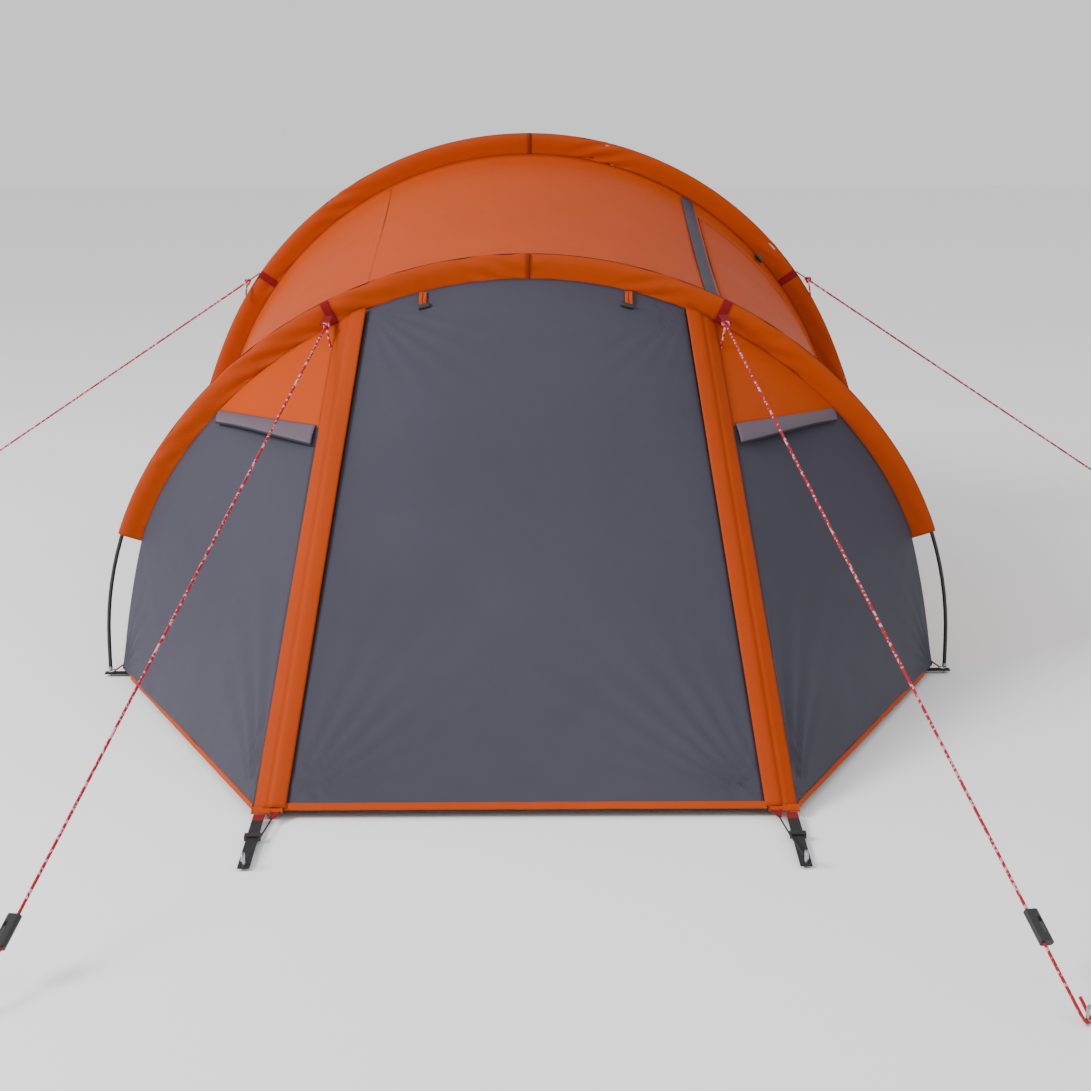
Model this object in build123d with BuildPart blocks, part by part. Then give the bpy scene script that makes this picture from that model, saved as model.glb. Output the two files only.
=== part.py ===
"""Tunnel tent: three hooped poles, a sewn fly with a zipped front door, an inner tent and its guying.

X is to the right, +Y runs from the front door to the rear, +Z is up, and the ground is Z = 0.
All lengths are millimetres and all angles are degrees.
"""

import os
from math import cos, radians, sin

from build123d import *

os.makedirs("parts", exist_ok=True)

# ---------------------------------------------------------------- driving dimensions
TENT_LENGTH = 3700.0  # fly, front hem to rear hem
FRONT_REACH = 930.0  # front hem to front hoop
BAY_FRONT = 1100.0  # front hoop to main hoop
BAY_REAR = 950.0  # main hoop to rear hoop

FRONT_HEIGHT, FRONT_HALF_WIDTH, FRONT_LEG = 917.0, 925.0, 79.0
MAIN_HEIGHT, MAIN_HALF_WIDTH, MAIN_LEG = 1158.0, 925.0, 60.0
REAR_HEIGHT, REAR_HALF_WIDTH, REAR_LEG = 800.0, 860.0, 70.0
FRONT_CROWN, MAIN_CROWN, REAR_CROWN = 55.0, 65.0, 55.0  # half angle of each hoop's top arc

FABRIC = 2.5  # wall of every fabric solid
SEAM_GAP = 3.0  # space left between two neighbouring fabric solids
HEM_HEIGHT = 18.0  # lower edge of the fly above the ground

POLE_DIA, POLE_BORE = 8.5, 5.0
CORD_IN_POLE_DIA = 3.0
FERRULE_WALL, FERRULE_LENGTH = 0.9, 60.0
FERRULE_CLEARANCE, TIP_CLEARANCE = 0.1, 0.2  # radial, over the pole and inside its bore
POLE_SECTIONS = 7
TIP_STEP_HEIGHT, TIP_PLUG = 22.0, 18.0
TIP_COLLAR = 0.6  # how far a tip's collar stands out from the pole

SLEEVE_DEPTH = 43.0  # from the pole's centre line to the sewn edge
SLEEVE_RIM = 9.0  # outside the pole's centre line
SLEEVE_WIDTH = 20.0
SLEEVE_CLEARANCE = 1.55  # between a ferrule and its sleeve's bore
SLEEVE_END_HEIGHT = 320.0

DOOR_TOP_HALF, DOOR_BOTTOM_HALF = 343.0, 426.0
STORM_FLAP_TOP, STORM_FLAP_BOTTOM = 56.0, 50.0
STORM_FLAP_LIFT = 9.0  # how far the storm flaps stand off the door and side panels
DOOR_HINGE_HEIGHT = 780.0
REAR_PANEL_TOP_HALF, HEM_CORNER_HALF = 399.0, 478.0
SIDE_HEM_STOP = 80.0  # the side hem ends this far short of the hoop's foot

VENT_HEIGHT = 590.0
VENT_DEPTH, VENT_LIFT = 62.0, 12.0

ZIP_TAPE_WIDTH, ZIP_TAPE_THICK = 9.0, 1.6
ZIP_DROP = 3.0  # the zip lies this far below the door's own surface
SLIDER_LENGTH, SLIDER_WIDTH, SLIDER_THICK, SLIDER_SLOT = 22.0, 14.0, 8.0, 5.0
SLIDER_REST = 90.0  # slider's distance from the hem when the door is closed

FLANK_SEAM_HEIGHT = 400.0
SIDE_DOOR_HINGE_HALF = 440.0  # distance of the side door's top edge from the centre plane
SIDE_DOOR_MARGIN, SIDE_DOOR_SILL = 110.0, 70.0
SIDE_DOOR_GAP = 5.0
ROOF_STRIP_WIDTH, ROOF_STRIP_HALF = 26.0, 432.0
STRIP_LIFT, STRIP_MARGIN = 6.0, 30.0  # above the roof, and short of each hoop

WEBBING_WIDTH, WEBBING_THICK = 20.0, 2.0
PEG_DIA, PEG_HEIGHT = 5.0, 30.0
CORNER_PEG_REACH, CORNER_PEG_HALF = 240.0, 463.0
TAB_LENGTH, TAB_THICK = 34.0, 3.0

TOGGLE_HALF = 232.0
TOGGLE_RIBBON_LENGTH, TOGGLE_RIBBON_WIDTH = 34.0, 12.0
TOGGLE_LENGTH, TOGGLE_DIA = 26.0, 11.0
DOOR_TOGGLE_LIFT, SIDE_TOGGLE_LIFT = -3.0, 2.0  # ribbon above the sleeve's lower edge

BINDING_WIDTH = 10.0
CORNER_LOOP_START, CORNER_LOOP_LENGTH = 14.0, 30.0
FOOT_MARGIN = 12.0
SIDE_TOGGLE_ANGLE = 47.5

CORD_DIA = 5.0
FRONT_TAB_HALF, FRONT_PEG_HALF, FRONT_PEG_REACH = 430.0, 768.0, 1760.0
MAIN_TAB_ANGLE, MAIN_PEG_HALF = 54.0, 1920.0
EYE_LENGTH = 45.0  # returned end of the cord at the peg
FRONT_TENSIONER_REST, MAIN_TENSIONER_REST = 140.0, 140.0
TENSIONER_OFFSET = 4.0  # the tensioner's middle from the cord's bore
TENSIONER_LENGTH, TENSIONER_WIDTH, TENSIONER_THICK = 62.0, 22.0, 11.0

INNER_FRONT_SETBACK = 560.0  # front hoop to the inner tent's front wall
INNER_REAR_SETBACK = 40.7  # from where the rear panel is as low as the inner rear wall's top, to that wall
INNER_CLEARANCE = 60.0  # fly to inner roof
FLOOR_TRAY_HEIGHT, FLOOR_THICK = 60.0, 3.0
INNER_CROWN, INNER_REAR_CROWN = 55.0, 15.0
INNER_LEG, INNER_REAR_LEG = 60.0, 8.0  # straight foot of the inner sections above the floor tray
INNER_REAR_HEIGHT, INNER_REAR_HALF = 180.0, 430.0
INNER_DOOR_HALF, INNER_DOOR_HEIGHT, INNER_DOOR_SILL = 330.0, 620.0, 130.0
INNER_DOOR_CORNER = 120.0
HANGER_ANGLES, HANGER_DIA = (-60, -30, 0, 30, 60), 4.0

# ---------------------------------------------------------------- derived places along the tent
FRONT_HEM_Y = -TENT_LENGTH / 2
REAR_HEM_Y = TENT_LENGTH / 2
FRONT_Y = FRONT_HEM_Y + FRONT_REACH
MAIN_Y = FRONT_Y + BAY_FRONT
REAR_Y = MAIN_Y + BAY_REAR
REAR_REACH = REAR_HEM_Y - REAR_Y
STEEPEST_ROOF = max((MAIN_HEIGHT - FRONT_HEIGHT) / BAY_FRONT, (MAIN_HEIGHT - REAR_HEIGHT) / BAY_REAR)
FLY_INSET = SLEEVE_DEPTH + SEAM_GAP + STEEPEST_ROOF * SLEEVE_WIDTH / 2  # pole's centre line to the skin
FERRULE_DIA = POLE_DIA + 2 * (FERRULE_CLEARANCE + FERRULE_WALL)
SLEEVE_BORE = FERRULE_DIA + 2 * SLEEVE_CLEARANCE
TIP_DIA = POLE_BORE - 2 * TIP_CLEARANCE
SIDES = {"left": -1, "right": 1}


class Hoop:
    """A pole's centre line: a crown arc, two side arcs that end upright, and two short straight legs."""

    def __init__(self, y, height, half_width, leg, crown):
        self.y, self.height, self.half_width, self.leg, self.crown = y, height, half_width, leg, crown
        rise = height - leg
        s, c = sin(radians(crown)), cos(radians(crown))
        share = s * c - (1 - s) * (1 - c)
        self.crown_radius = (half_width * c - (1 - s) * rise) / share
        self.side_radius = (s * rise - (1 - c) * half_width) / share
        self.crown_z = height - self.crown_radius
        self.side_x = half_width - self.side_radius

    def at(self, angle, inset=0.0, side=1):
        """The point (x, z) at an angle from straight up, moved in from the centre line by inset."""
        a = radians(angle)
        if angle <= self.crown:
            r = self.crown_radius - inset
            return side * r * sin(a), self.crown_z + r * cos(a)
        r = self.side_radius - inset
        return side * (self.side_x + r * sin(a)), self.leg + r * cos(a)

    def angle_at_x(self, x, inset=0.0):
        """The crown angle at a distance x from the centre plane."""
        return degrees_of(x / (self.crown_radius - inset))

    def angle_at_z(self, z):
        """The side arc's angle at a height z."""
        return 90.0 - degrees_of((z - self.leg) / self.side_radius)

    def curve(self, inset, low, legs_to=None):
        """Edges of the hoop from low degrees on one side, over the crown, to low degrees on the other."""
        r, s = self.crown_radius - inset, self.side_radius - inset
        CenterArc((0, self.crown_z), r, 90 - self.crown, 2 * self.crown)
        CenterArc((self.side_x, self.leg), s, 90 - low, low - self.crown)
        CenterArc((-self.side_x, self.leg), s, 90 + self.crown, low - self.crown)
        if legs_to is not None:
            for side in SIDES.values():
                x = side * (self.half_width - inset)
                Line((x, self.leg), (x, legs_to))


def degrees_of(sine):
    """Arc sine in degrees."""
    return Vector(1, 0).get_angle(Vector((1 - sine * sine) ** 0.5, sine))


def upright(y):
    """The upright plane across the tent at y, with local x to the right and local y up."""
    return Plane(origin=(0, y, 0), x_dir=(1, 0, 0), z_dir=(0, -1, 0))


def save(part, name):
    """Label a finished piece and write it to its own file."""
    part.label = name
    export_step(part, f"parts/{name}.step")


FRONT = Hoop(FRONT_Y, FRONT_HEIGHT, FRONT_HALF_WIDTH, FRONT_LEG, FRONT_CROWN)
MAIN = Hoop(MAIN_Y, MAIN_HEIGHT, MAIN_HALF_WIDTH, MAIN_LEG, MAIN_CROWN)
REAR = Hoop(REAR_Y, REAR_HEIGHT, REAR_HALF_WIDTH, REAR_LEG, REAR_CROWN)
HOOPS = {"front": FRONT, "middle": MAIN, "rear": REAR}


# ---------------------------------------------------------------- poles, ferrules, shock cords and tips
def hoop_path(hoop, low=90.0, legs_to=None):
    """A hoop's centre line, from the right foot over the crown to the left foot."""
    with BuildLine(upright(hoop.y)) as path:
        hoop.curve(0.0, low, legs_to)
    return path.line


def foot_plane(hoop, legs_to):
    """The level plane across the right leg."""
    return Plane(origin=(hoop.half_width, hoop.y, legs_to), z_dir=(0, 0, 1))


def joint_angles(hoop):
    """Angles from straight up of the joints between a pole's sections, evenly spaced along the hoop."""
    crown_run = radians(hoop.crown) * hoop.crown_radius
    side_run = radians(90 - hoop.crown) * hoop.side_radius
    whole = 2 * (crown_run + side_run + hoop.leg)
    runs = [whole * (k / POLE_SECTIONS - 0.5) for k in range(1, POLE_SECTIONS)]
    angles = []
    for run in runs:
        reach = abs(run)
        if reach <= crown_run:
            angle = reach / hoop.crown_radius
        else:
            angle = radians(hoop.crown) + (reach - crown_run) / hoop.side_radius
        angles.append((Vector(1, 0).get_angle(Vector(cos(angle), sin(angle))), -1 if run < 0 else 1))
    return angles


def ring_section(hoop, angle, side, outer, inner):
    """A ring across the pole at one angle."""
    x, z = hoop.at(angle, 0, side)
    along = (side * cos(radians(angle)), 0, -sin(radians(angle)))
    with BuildSketch(Plane(origin=(x, hoop.y, z), z_dir=along)) as ring:
        Circle(outer / 2)
        Circle(inner / 2, mode=Mode.SUBTRACT)
    return ring.sketch


for label, hoop in HOOPS.items():
    with BuildPart() as pole:
        with BuildSketch(foot_plane(hoop, TIP_STEP_HEIGHT)):
            Circle(POLE_DIA / 2)
            Circle(POLE_BORE / 2, mode=Mode.SUBTRACT)
        sweep(path=hoop_path(hoop, 90.0, TIP_STEP_HEIGHT))
        for angle, side in joint_angles(hoop):
            x, z = hoop.at(angle, 0, side)
            tilt = side * angle
            with Locations(Location((x, hoop.y, z), (0, tilt, 0))):
                Box(1.0, 2 * POLE_DIA, 2 * POLE_DIA, mode=Mode.SUBTRACT)
    save(pole.part, f"pole_{label}")

with BuildPart() as shock_cords:
    for hoop in HOOPS.values():
        with BuildSketch(foot_plane(hoop, TIP_STEP_HEIGHT + TIP_PLUG + 2)):
            Circle(CORD_IN_POLE_DIA / 2)
        sweep(path=hoop_path(hoop, 90.0, TIP_STEP_HEIGHT + TIP_PLUG + 2))
save(shock_cords.part, "shock_cords")

with BuildPart() as ferrules:
    for hoop in HOOPS.values():
        for angle, side in joint_angles(hoop):
            radius = hoop.crown_radius if angle <= hoop.crown else hoop.side_radius
            half = degrees_of(FERRULE_LENGTH / 2 / radius)
            start = min(angle - half, angle + half)
            if start < hoop.crown < start + 2 * half:
                start = hoop.crown if angle > hoop.crown else hoop.crown - 2 * half
            centre = (0, hoop.crown_z) if start < hoop.crown else (side * hoop.side_x, hoop.leg)
            with BuildLine(upright(hoop.y)) as run:
                if side > 0:
                    CenterArc(centre, radius, 90 - start, -2 * half)
                else:
                    CenterArc(centre, radius, 90 + start, 2 * half)
            add(ring_section(hoop, start, side, FERRULE_DIA, POLE_DIA + 2 * FERRULE_CLEARANCE))
            sweep(path=run.line)
save(ferrules.part, "pole_ferrules")

with BuildPart() as pole_tips:
    for hoop in HOOPS.values():
        for side in SIDES.values():
            with BuildSketch(Plane.XY):
                with Locations((side * hoop.half_width, hoop.y)):
                    Circle(TIP_DIA / 2)
            extrude(amount=TIP_STEP_HEIGHT + TIP_PLUG)
            with BuildSketch(Plane.XY.offset(TIP_STEP_HEIGHT - 6)):
                with Locations((side * hoop.half_width, hoop.y)):
                    Circle(POLE_DIA / 2 + TIP_COLLAR)
            extrude(amount=5.8)
save(pole_tips.part, "pole_tips")

# ---------------------------------------------------------------- pole sleeves sewn to the fly
for label, hoop in HOOPS.items():
    low = hoop.angle_at_z(SLEEVE_END_HEIGHT)
    x, z = hoop.at(low)
    with BuildPart() as sleeve:
        outward = (sin(radians(low)), 0, cos(radians(low)))
        along = (-cos(radians(low)), 0, sin(radians(low)))
        with BuildSketch(Plane(origin=(x, hoop.y, z), x_dir=outward, z_dir=along)):
            with Locations(((SLEEVE_RIM - SLEEVE_DEPTH) / 2, 0)):
                Rectangle(SLEEVE_RIM + SLEEVE_DEPTH, SLEEVE_WIDTH)
            Circle(SLEEVE_BORE / 2, mode=Mode.SUBTRACT)
        sweep(path=hoop_path(hoop, low))
    save(sleeve.part, f"sleeve_{label}")


# ---------------------------------------------------------------- fly skin between two hoops
def band(hoop, y, inset):
    """The fly's section across the tent at y."""
    with BuildSketch(upright(y)) as section:
        with BuildLine():
            for depth in (inset, inset + FABRIC):
                hoop.curve(depth, 90.0, HEM_HEIGHT)
            for side in SIDES.values():
                outer = side * (hoop.half_width - inset)
                Line((outer, HEM_HEIGHT), (outer - side * FABRIC, HEM_HEIGHT))
        make_face()
    return section.sketch


def bay(fore, aft, inset=FLY_INSET):
    """The fly from one hoop to the next, hem to hem."""
    with BuildPart() as skin:
        add(band(fore, fore.y + SEAM_GAP / 2, inset))
        add(band(aft, aft.y - SEAM_GAP / 2, inset))
        loft(ruled=True)
    return skin.part


def block(low, high):
    """A box between two corners."""
    size = [b - a for a, b in zip(low, high)]
    return Pos(*[(a + b) / 2 for a, b in zip(low, high)]) * Box(*size)


FAR = 3000.0
front_skin = bay(FRONT, MAIN)
rear_skin = bay(MAIN, REAR)
side_door_low = (SIDE_DOOR_HINGE_HALF, FRONT_Y + SIDE_DOOR_MARGIN, SIDE_DOOR_SILL)
side_door_high = (FAR, MAIN_Y - SIDE_DOOR_MARGIN, FAR)
side_door_zone = block(side_door_low, side_door_high)
side_door_core = block(
    [c + SIDE_DOOR_GAP for c in side_door_low], [c - SIDE_DOOR_GAP for c in side_door_high]
)

for label, skin in {"front": front_skin, "rear": rear_skin}.items():
    with BuildPart() as roof:
        add(skin)
        split(bisect_by=Plane.XY.offset(FLANK_SEAM_HEIGHT + SEAM_GAP / 2), keep=Keep.TOP)
        if label == "front":
            add(side_door_zone, mode=Mode.SUBTRACT)
    save(roof.part, f"fly_roof_{label}")

for name, side in SIDES.items():
    with BuildPart() as flank:
        add(front_skin)
        split(bisect_by=Plane.XY.offset(FLANK_SEAM_HEIGHT - SEAM_GAP / 2), keep=Keep.BOTTOM)
        split(bisect_by=Plane.YZ, keep=Keep.TOP if side > 0 else Keep.BOTTOM)
        if side > 0:
            add(side_door_zone, mode=Mode.SUBTRACT)
    save(flank.part, f"fly_flank_front_{name}")

with BuildPart() as rear_flanks:
    add(rear_skin)
    split(bisect_by=Plane.XY.offset(FLANK_SEAM_HEIGHT - SEAM_GAP / 2), keep=Keep.BOTTOM)
save(rear_flanks.part, "fly_flanks_rear")

with BuildPart() as side_door:
    add(front_skin)
    add(side_door_core, mode=Mode.INTERSECT)
save(side_door.part, "side_door")
door_edge = SIDE_DOOR_HINGE_HALF + SIDE_DOOR_GAP
hinge_ends = []
for hoop in (FRONT, MAIN):
    x, z = hoop.at(hoop.angle_at_x(door_edge, FLY_INSET), FLY_INSET)
    hinge_ends.append(Vector(x, hoop.y, z + 4))
print("side door hinge", hinge_ends[0], "axis", (hinge_ends[1] - hinge_ends[0]).normalized())

# ---------------------------------------------------------------- strip over the side door's top seam
strip_low = (ROOF_STRIP_HALF - ROOF_STRIP_WIDTH, FRONT_Y + STRIP_MARGIN, FLANK_SEAM_HEIGHT)
strip_high = (ROOF_STRIP_HALF, MAIN_Y - STRIP_MARGIN, FAR)
with BuildPart() as roof_strip:
    add(bay(FRONT, MAIN, FLY_INSET - STRIP_LIFT - FABRIC))
    add(block(strip_low, strip_high), mode=Mode.INTERSECT)
save(roof_strip.part, "side_door_strip")


# ---------------------------------------------------------------- the two end cones of the fly
def fan(hoop, toward, top, bottom, lift=0.0, thick=FABRIC):
    """A panel from a stretch of a hoop's crown down to the straight end hem.

    toward is -1 at the front and 1 at the rear. top and bottom are the x limits at the hoop and at
    the hem. lift moves the panel out along its own normal.
    """
    reach = FRONT_REACH if toward < 0 else REAR_REACH
    inset = FLY_INSET - lift
    drop = hoop.height - FLY_INSET - HEM_HEIGHT
    slope = Vector(0, toward * reach, -drop).normalized()
    normal = Vector(0, toward * drop, reach).normalized()
    start, stop = (90 - hoop.angle_at_x(x, inset) if x >= 0 else 90 + hoop.angle_at_x(-x, inset) for x in top)
    with BuildPart() as panel:
        clear = SLEEVE_WIDTH / 2 + SEAM_GAP if lift > 0 else SEAM_GAP / 2
        with BuildSketch(upright(hoop.y + toward * clear)):
            with BuildLine():
                outer = CenterArc((0, hoop.crown_z), hoop.crown_radius - inset, start, stop - start)
                inner = CenterArc((0, hoop.crown_z), hoop.crown_radius - inset - thick, start, stop - start)
                Line(outer @ 0, inner @ 0)
                Line(outer @ 1, inner @ 1)
            make_face()
        base = Vector(0, hoop.y + toward * reach, HEM_HEIGHT)
        hem = Plane(origin=base, x_dir=(1, 0, 0), z_dir=slope * -toward)
        away = 1 if hem.y_dir.dot(normal) > 0 else -1
        low, high = away * (lift - thick), away * lift
        with BuildSketch(hem):
            with BuildLine():
                Polyline((bottom[0], low), (bottom[1], low), (bottom[1], high), (bottom[0], high), close=True)
            make_face()
        loft(ruled=True)
    return panel.part


def cheek(hoop, toward, side, top_half):
    """The panel beside the end panel, from the hoop's side down to the slanting hem."""
    reach = FRONT_REACH if toward < 0 else REAR_REACH
    foot_x = hoop.half_width - FLY_INSET
    corner = Vector(side * (HEM_CORNER_HALF + SEAM_GAP), hoop.y + toward * reach, HEM_HEIGHT)
    foot = Vector(side * foot_x, hoop.y, HEM_HEIGHT)
    along = (foot - corner).normalized()
    run = (foot - corner).length - SIDE_HEM_STOP
    first = hoop.angle_at_x(top_half + SEAM_GAP, FLY_INSET)
    angles = [first + (90 - first) * k / 6 for k in range(7)]
    middle = hoop.at(angles[3], FLY_INSET, side)
    up = (Vector(middle[0], hoop.y, middle[1]) - (corner + along * (run / 2))).normalized()
    normal = along.cross(up).normalized()
    if normal.X * side < 0:
        normal = -normal
    with BuildPart() as panel:
        with BuildSketch(upright(hoop.y + toward * SEAM_GAP / 2)):
            with BuildLine():
                rows = []
                for inset in (FLY_INSET, FLY_INSET + FABRIC):
                    points = [hoop.at(a, inset, side) for a in angles]
                    rows.append(Spline(points + [(side * (hoop.half_width - inset), HEM_HEIGHT)]))
                Line(rows[0] @ 0, rows[1] @ 0)
                Line(rows[0] @ 1, rows[1] @ 1)
            make_face()
        hem = Plane(origin=corner, x_dir=along, z_dir=along.cross(normal))
        away = 1 if hem.y_dir.dot(normal) > 0 else -1
        with BuildSketch(hem):
            with BuildLine():
                Polyline((0, 0), (run, 0), (run, -away * FABRIC), (0, -away * FABRIC), close=True)
            make_face()
        loft(ruled=True)
    return panel.part


# front: door, door head, storm flaps
door_sheet = fan(FRONT, -1, (-DOOR_TOP_HALF, DOOR_TOP_HALF), (-DOOR_BOTTOM_HALF, DOOR_BOTTOM_HALF))
with BuildPart() as door_head:
    add(door_sheet)
    split(bisect_by=Plane.XY.offset(DOOR_HINGE_HEIGHT + SEAM_GAP), keep=Keep.TOP)
save(door_head.part, "door_head")

with BuildPart() as front_door:
    add(door_sheet)
    split(bisect_by=Plane.XY.offset(DOOR_HINGE_HEIGHT), keep=Keep.BOTTOM)
save(front_door.part, "front_door")

for name, side in SIDES.items():
    top = sorted(side * x for x in (DOOR_TOP_HALF + SEAM_GAP, DOOR_TOP_HALF + STORM_FLAP_TOP))
    bottom = sorted(side * x for x in (DOOR_BOTTOM_HALF + SEAM_GAP, DOOR_BOTTOM_HALF + STORM_FLAP_BOTTOM))
    flap = fan(FRONT, -1, top, bottom, lift=STORM_FLAP_LIFT)
    save(flap, f"storm_flap_{name}")

# front and rear cheeks: an upper and a lower panel at the front, one panel at the rear
for name, side in SIDES.items():
    sheet = cheek(FRONT, -1, side, DOOR_TOP_HALF + STORM_FLAP_TOP)
    with BuildPart() as upper:
        add(sheet)
        split(bisect_by=Plane.XY.offset(VENT_HEIGHT + SEAM_GAP / 2), keep=Keep.TOP)
    save(upper.part, f"front_side_upper_{name}")
    with BuildPart() as lower:
        add(sheet)
        split(bisect_by=Plane.XY.offset(VENT_HEIGHT - SEAM_GAP / 2), keep=Keep.BOTTOM)
    save(lower.part, f"front_side_lower_{name}")

with BuildPart() as rear_sides:
    for side in SIDES.values():
        add(cheek(REAR, 1, side, REAR_PANEL_TOP_HALF))
save(rear_sides.part, "rear_sides")

rear_panel = fan(
    REAR, 1, (-REAR_PANEL_TOP_HALF, REAR_PANEL_TOP_HALF), (-HEM_CORNER_HALF, HEM_CORNER_HALF)
)
save(rear_panel, "rear_panel")


# ---------------------------------------------------------------- small builders
def unit(x, y, z):
    """A direction of length one."""
    return Vector(x, y, z).normalized()


def bar(start, along, across, length, width, thick, hole=0.0, hole_at=0.0, slot=None):
    """A flat bar from start along one direction, optionally holed or slotted across its thickness."""
    flat = Plane(origin=start, x_dir=along, z_dir=along.cross(across))
    with BuildPart() as piece:
        with BuildSketch(flat):
            with Locations((length / 2, 0)):
                Rectangle(length, width)
            if hole:
                with Locations((hole_at, 0)):
                    Circle(hole / 2, mode=Mode.SUBTRACT)
            if slot:
                with Locations((length / 2, 0)):
                    Rectangle(*slot, mode=Mode.SUBTRACT)
        extrude(amount=thick / 2, both=True)
    return piece.part


def tube(points, radii, dia):
    """A round cord along straight runs and tangent arcs."""
    with BuildPart() as cord:
        with BuildLine() as route:
            FilletPolyline(*points, radius=radii)
        with BuildSketch(Plane(origin=route.line @ 0, z_dir=route.line % 0)):
            Circle(dia / 2)
        sweep()
    return cord.part


def peg(x, y, back_x, back_y):
    """The part of a hooked wire peg that stands above the ground, its hook pointing back_x, back_y."""
    back = unit(back_x, back_y, 0)
    foot = Vector(x, y, 0)
    top = foot + Vector(0, 0, PEG_HEIGHT)
    bend = PEG_DIA * 1.2
    with BuildPart() as wire:
        with BuildLine() as route:
            nose = top + back * PEG_HEIGHT / 2
            FilletPolyline(foot, top, nose, nose - Vector(0, 0, PEG_HEIGHT / 3), radius=bend)
        with BuildSketch(Plane(origin=foot, z_dir=(0, 0, 1))):
            Circle(PEG_DIA / 2)
        sweep(path=route.line)
    return wire.part


FRONT_DROP = FRONT_HEIGHT - FLY_INSET - HEM_HEIGHT
FRONT_SLOPE = unit(0, -FRONT_REACH, -FRONT_DROP)  # down the front door
FRONT_NORMAL = unit(0, -FRONT_DROP, FRONT_REACH)  # out of the front door
RIGHT = Vector(1, 0, 0)

# ---------------------------------------------------------------- door zips and their sliders
ZIP_OFFSET = 12.0  # from the door's edge to the zip's middle
with BuildPart() as zip_tapes:
    for side in SIDES.values():
        edges = (ZIP_OFFSET - ZIP_TAPE_WIDTH / 2, ZIP_OFFSET + ZIP_TAPE_WIDTH / 2)
        limits = [
            sorted(side * (half + edge) for edge in edges) for half in (DOOR_TOP_HALF, DOOR_BOTTOM_HALF)
        ]
        add(fan(FRONT, -1, *limits, lift=-ZIP_DROP, thick=ZIP_TAPE_THICK))
save(zip_tapes.part, "door_zip_tapes")


def zip_ends(side):
    """The top and bottom of a zip's middle line."""
    depth = ZIP_DROP + ZIP_TAPE_THICK / 2
    inset = FLY_INSET + depth
    x, z = FRONT.at(FRONT.angle_at_x(DOOR_TOP_HALF + ZIP_OFFSET, inset), inset, side)
    top = Vector(x, FRONT_Y - SEAM_GAP / 2, z)
    hem = Vector(side * (DOOR_BOTTOM_HALF + ZIP_OFFSET), FRONT_HEM_Y, HEM_HEIGHT)
    return top, hem - FRONT_NORMAL * depth


for name, side in SIDES.items():
    top, hem = zip_ends(side)
    up = (top - hem).normalized()
    mean_twist = FRONT.angle_at_x(DOOR_TOP_HALF + ZIP_OFFSET) / 2
    flat = FRONT_NORMAL * cos(radians(mean_twist)) + RIGHT * side * sin(radians(mean_twist))
    across = up.cross(flat).normalized()
    ends = Plane(origin=hem + up * SLIDER_REST, x_dir=across, z_dir=up)
    with BuildPart() as slider:
        with BuildSketch(ends):
            Rectangle(SLIDER_WIDTH, SLIDER_THICK)
            Rectangle(ZIP_TAPE_WIDTH + 2, SLIDER_SLOT, mode=Mode.SUBTRACT)
        extrude(amount=SLIDER_LENGTH)
    save(slider.part, f"zip_slider_{name}")
    print("zip", name, "axis", up, "travel", (top - hem).length - SLIDER_REST - SLIDER_LENGTH)

# ---------------------------------------------------------------- vent flaps
for name, side in SIDES.items():
    angle = FRONT.angle_at_z(VENT_HEIGHT)
    if angle < FRONT.crown:
        angle = degrees_of((1 - ((VENT_HEIGHT - FRONT.crown_z) / FRONT.crown_radius) ** 2) ** 0.5)
    hoop_x, hoop_z = FRONT.at(angle, FLY_INSET + VENT_LIFT, side)
    hoop_end = Vector(hoop_x, FRONT_Y - SLEEVE_WIDTH / 2 - SEAM_GAP - VENT_LIFT, VENT_HEIGHT)
    edge_z = FRONT.at(FRONT.angle_at_x(DOOR_TOP_HALF + STORM_FLAP_TOP, FLY_INSET), FLY_INSET)[1]
    share = (edge_z - VENT_HEIGHT) / (edge_z - HEM_HEIGHT)
    edge_top = DOOR_TOP_HALF + STORM_FLAP_TOP + SEAM_GAP + VENT_LIFT
    edge_bottom = DOOR_BOTTOM_HALF + STORM_FLAP_BOTTOM + SEAM_GAP + VENT_LIFT
    flap_end = Vector(
        side * (edge_top + (edge_bottom - edge_top) * share), FRONT_Y - FRONT_REACH * share, VENT_HEIGHT
    )
    seam = (flap_end - hoop_end).normalized()
    down_hoop = Vector(side * cos(radians(angle)), 0, -sin(radians(angle)))
    down_flap = unit(side * (edge_bottom - edge_top), -FRONT_REACH, -FRONT_DROP)
    sections = []
    with BuildPart() as vent_flap:
        for end, down in ((hoop_end, down_hoop), (flap_end, down_flap)):
            down = (down - seam * down.dot(seam)).normalized()
            out = seam.cross(down)
            out = out if out.Y < 0 else -out
            root = end + out * VENT_LIFT
            with BuildSketch(Plane(origin=root, x_dir=down, z_dir=seam)) as section:
                away = 1 if section.workplanes[0].y_dir.dot(out) > 0 else -1
                with BuildLine():
                    high = away * FABRIC
                    Polyline((0, 0), (VENT_DEPTH, 0), (VENT_DEPTH, high), (0, high), close=True)
                make_face()
            sections.append(root)
        loft(ruled=True)
    save(vent_flap.part, f"vent_flap_{name}")
    print("vent", name, "hinge", sections[0], "axis", (sections[1] - sections[0]).normalized())


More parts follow.
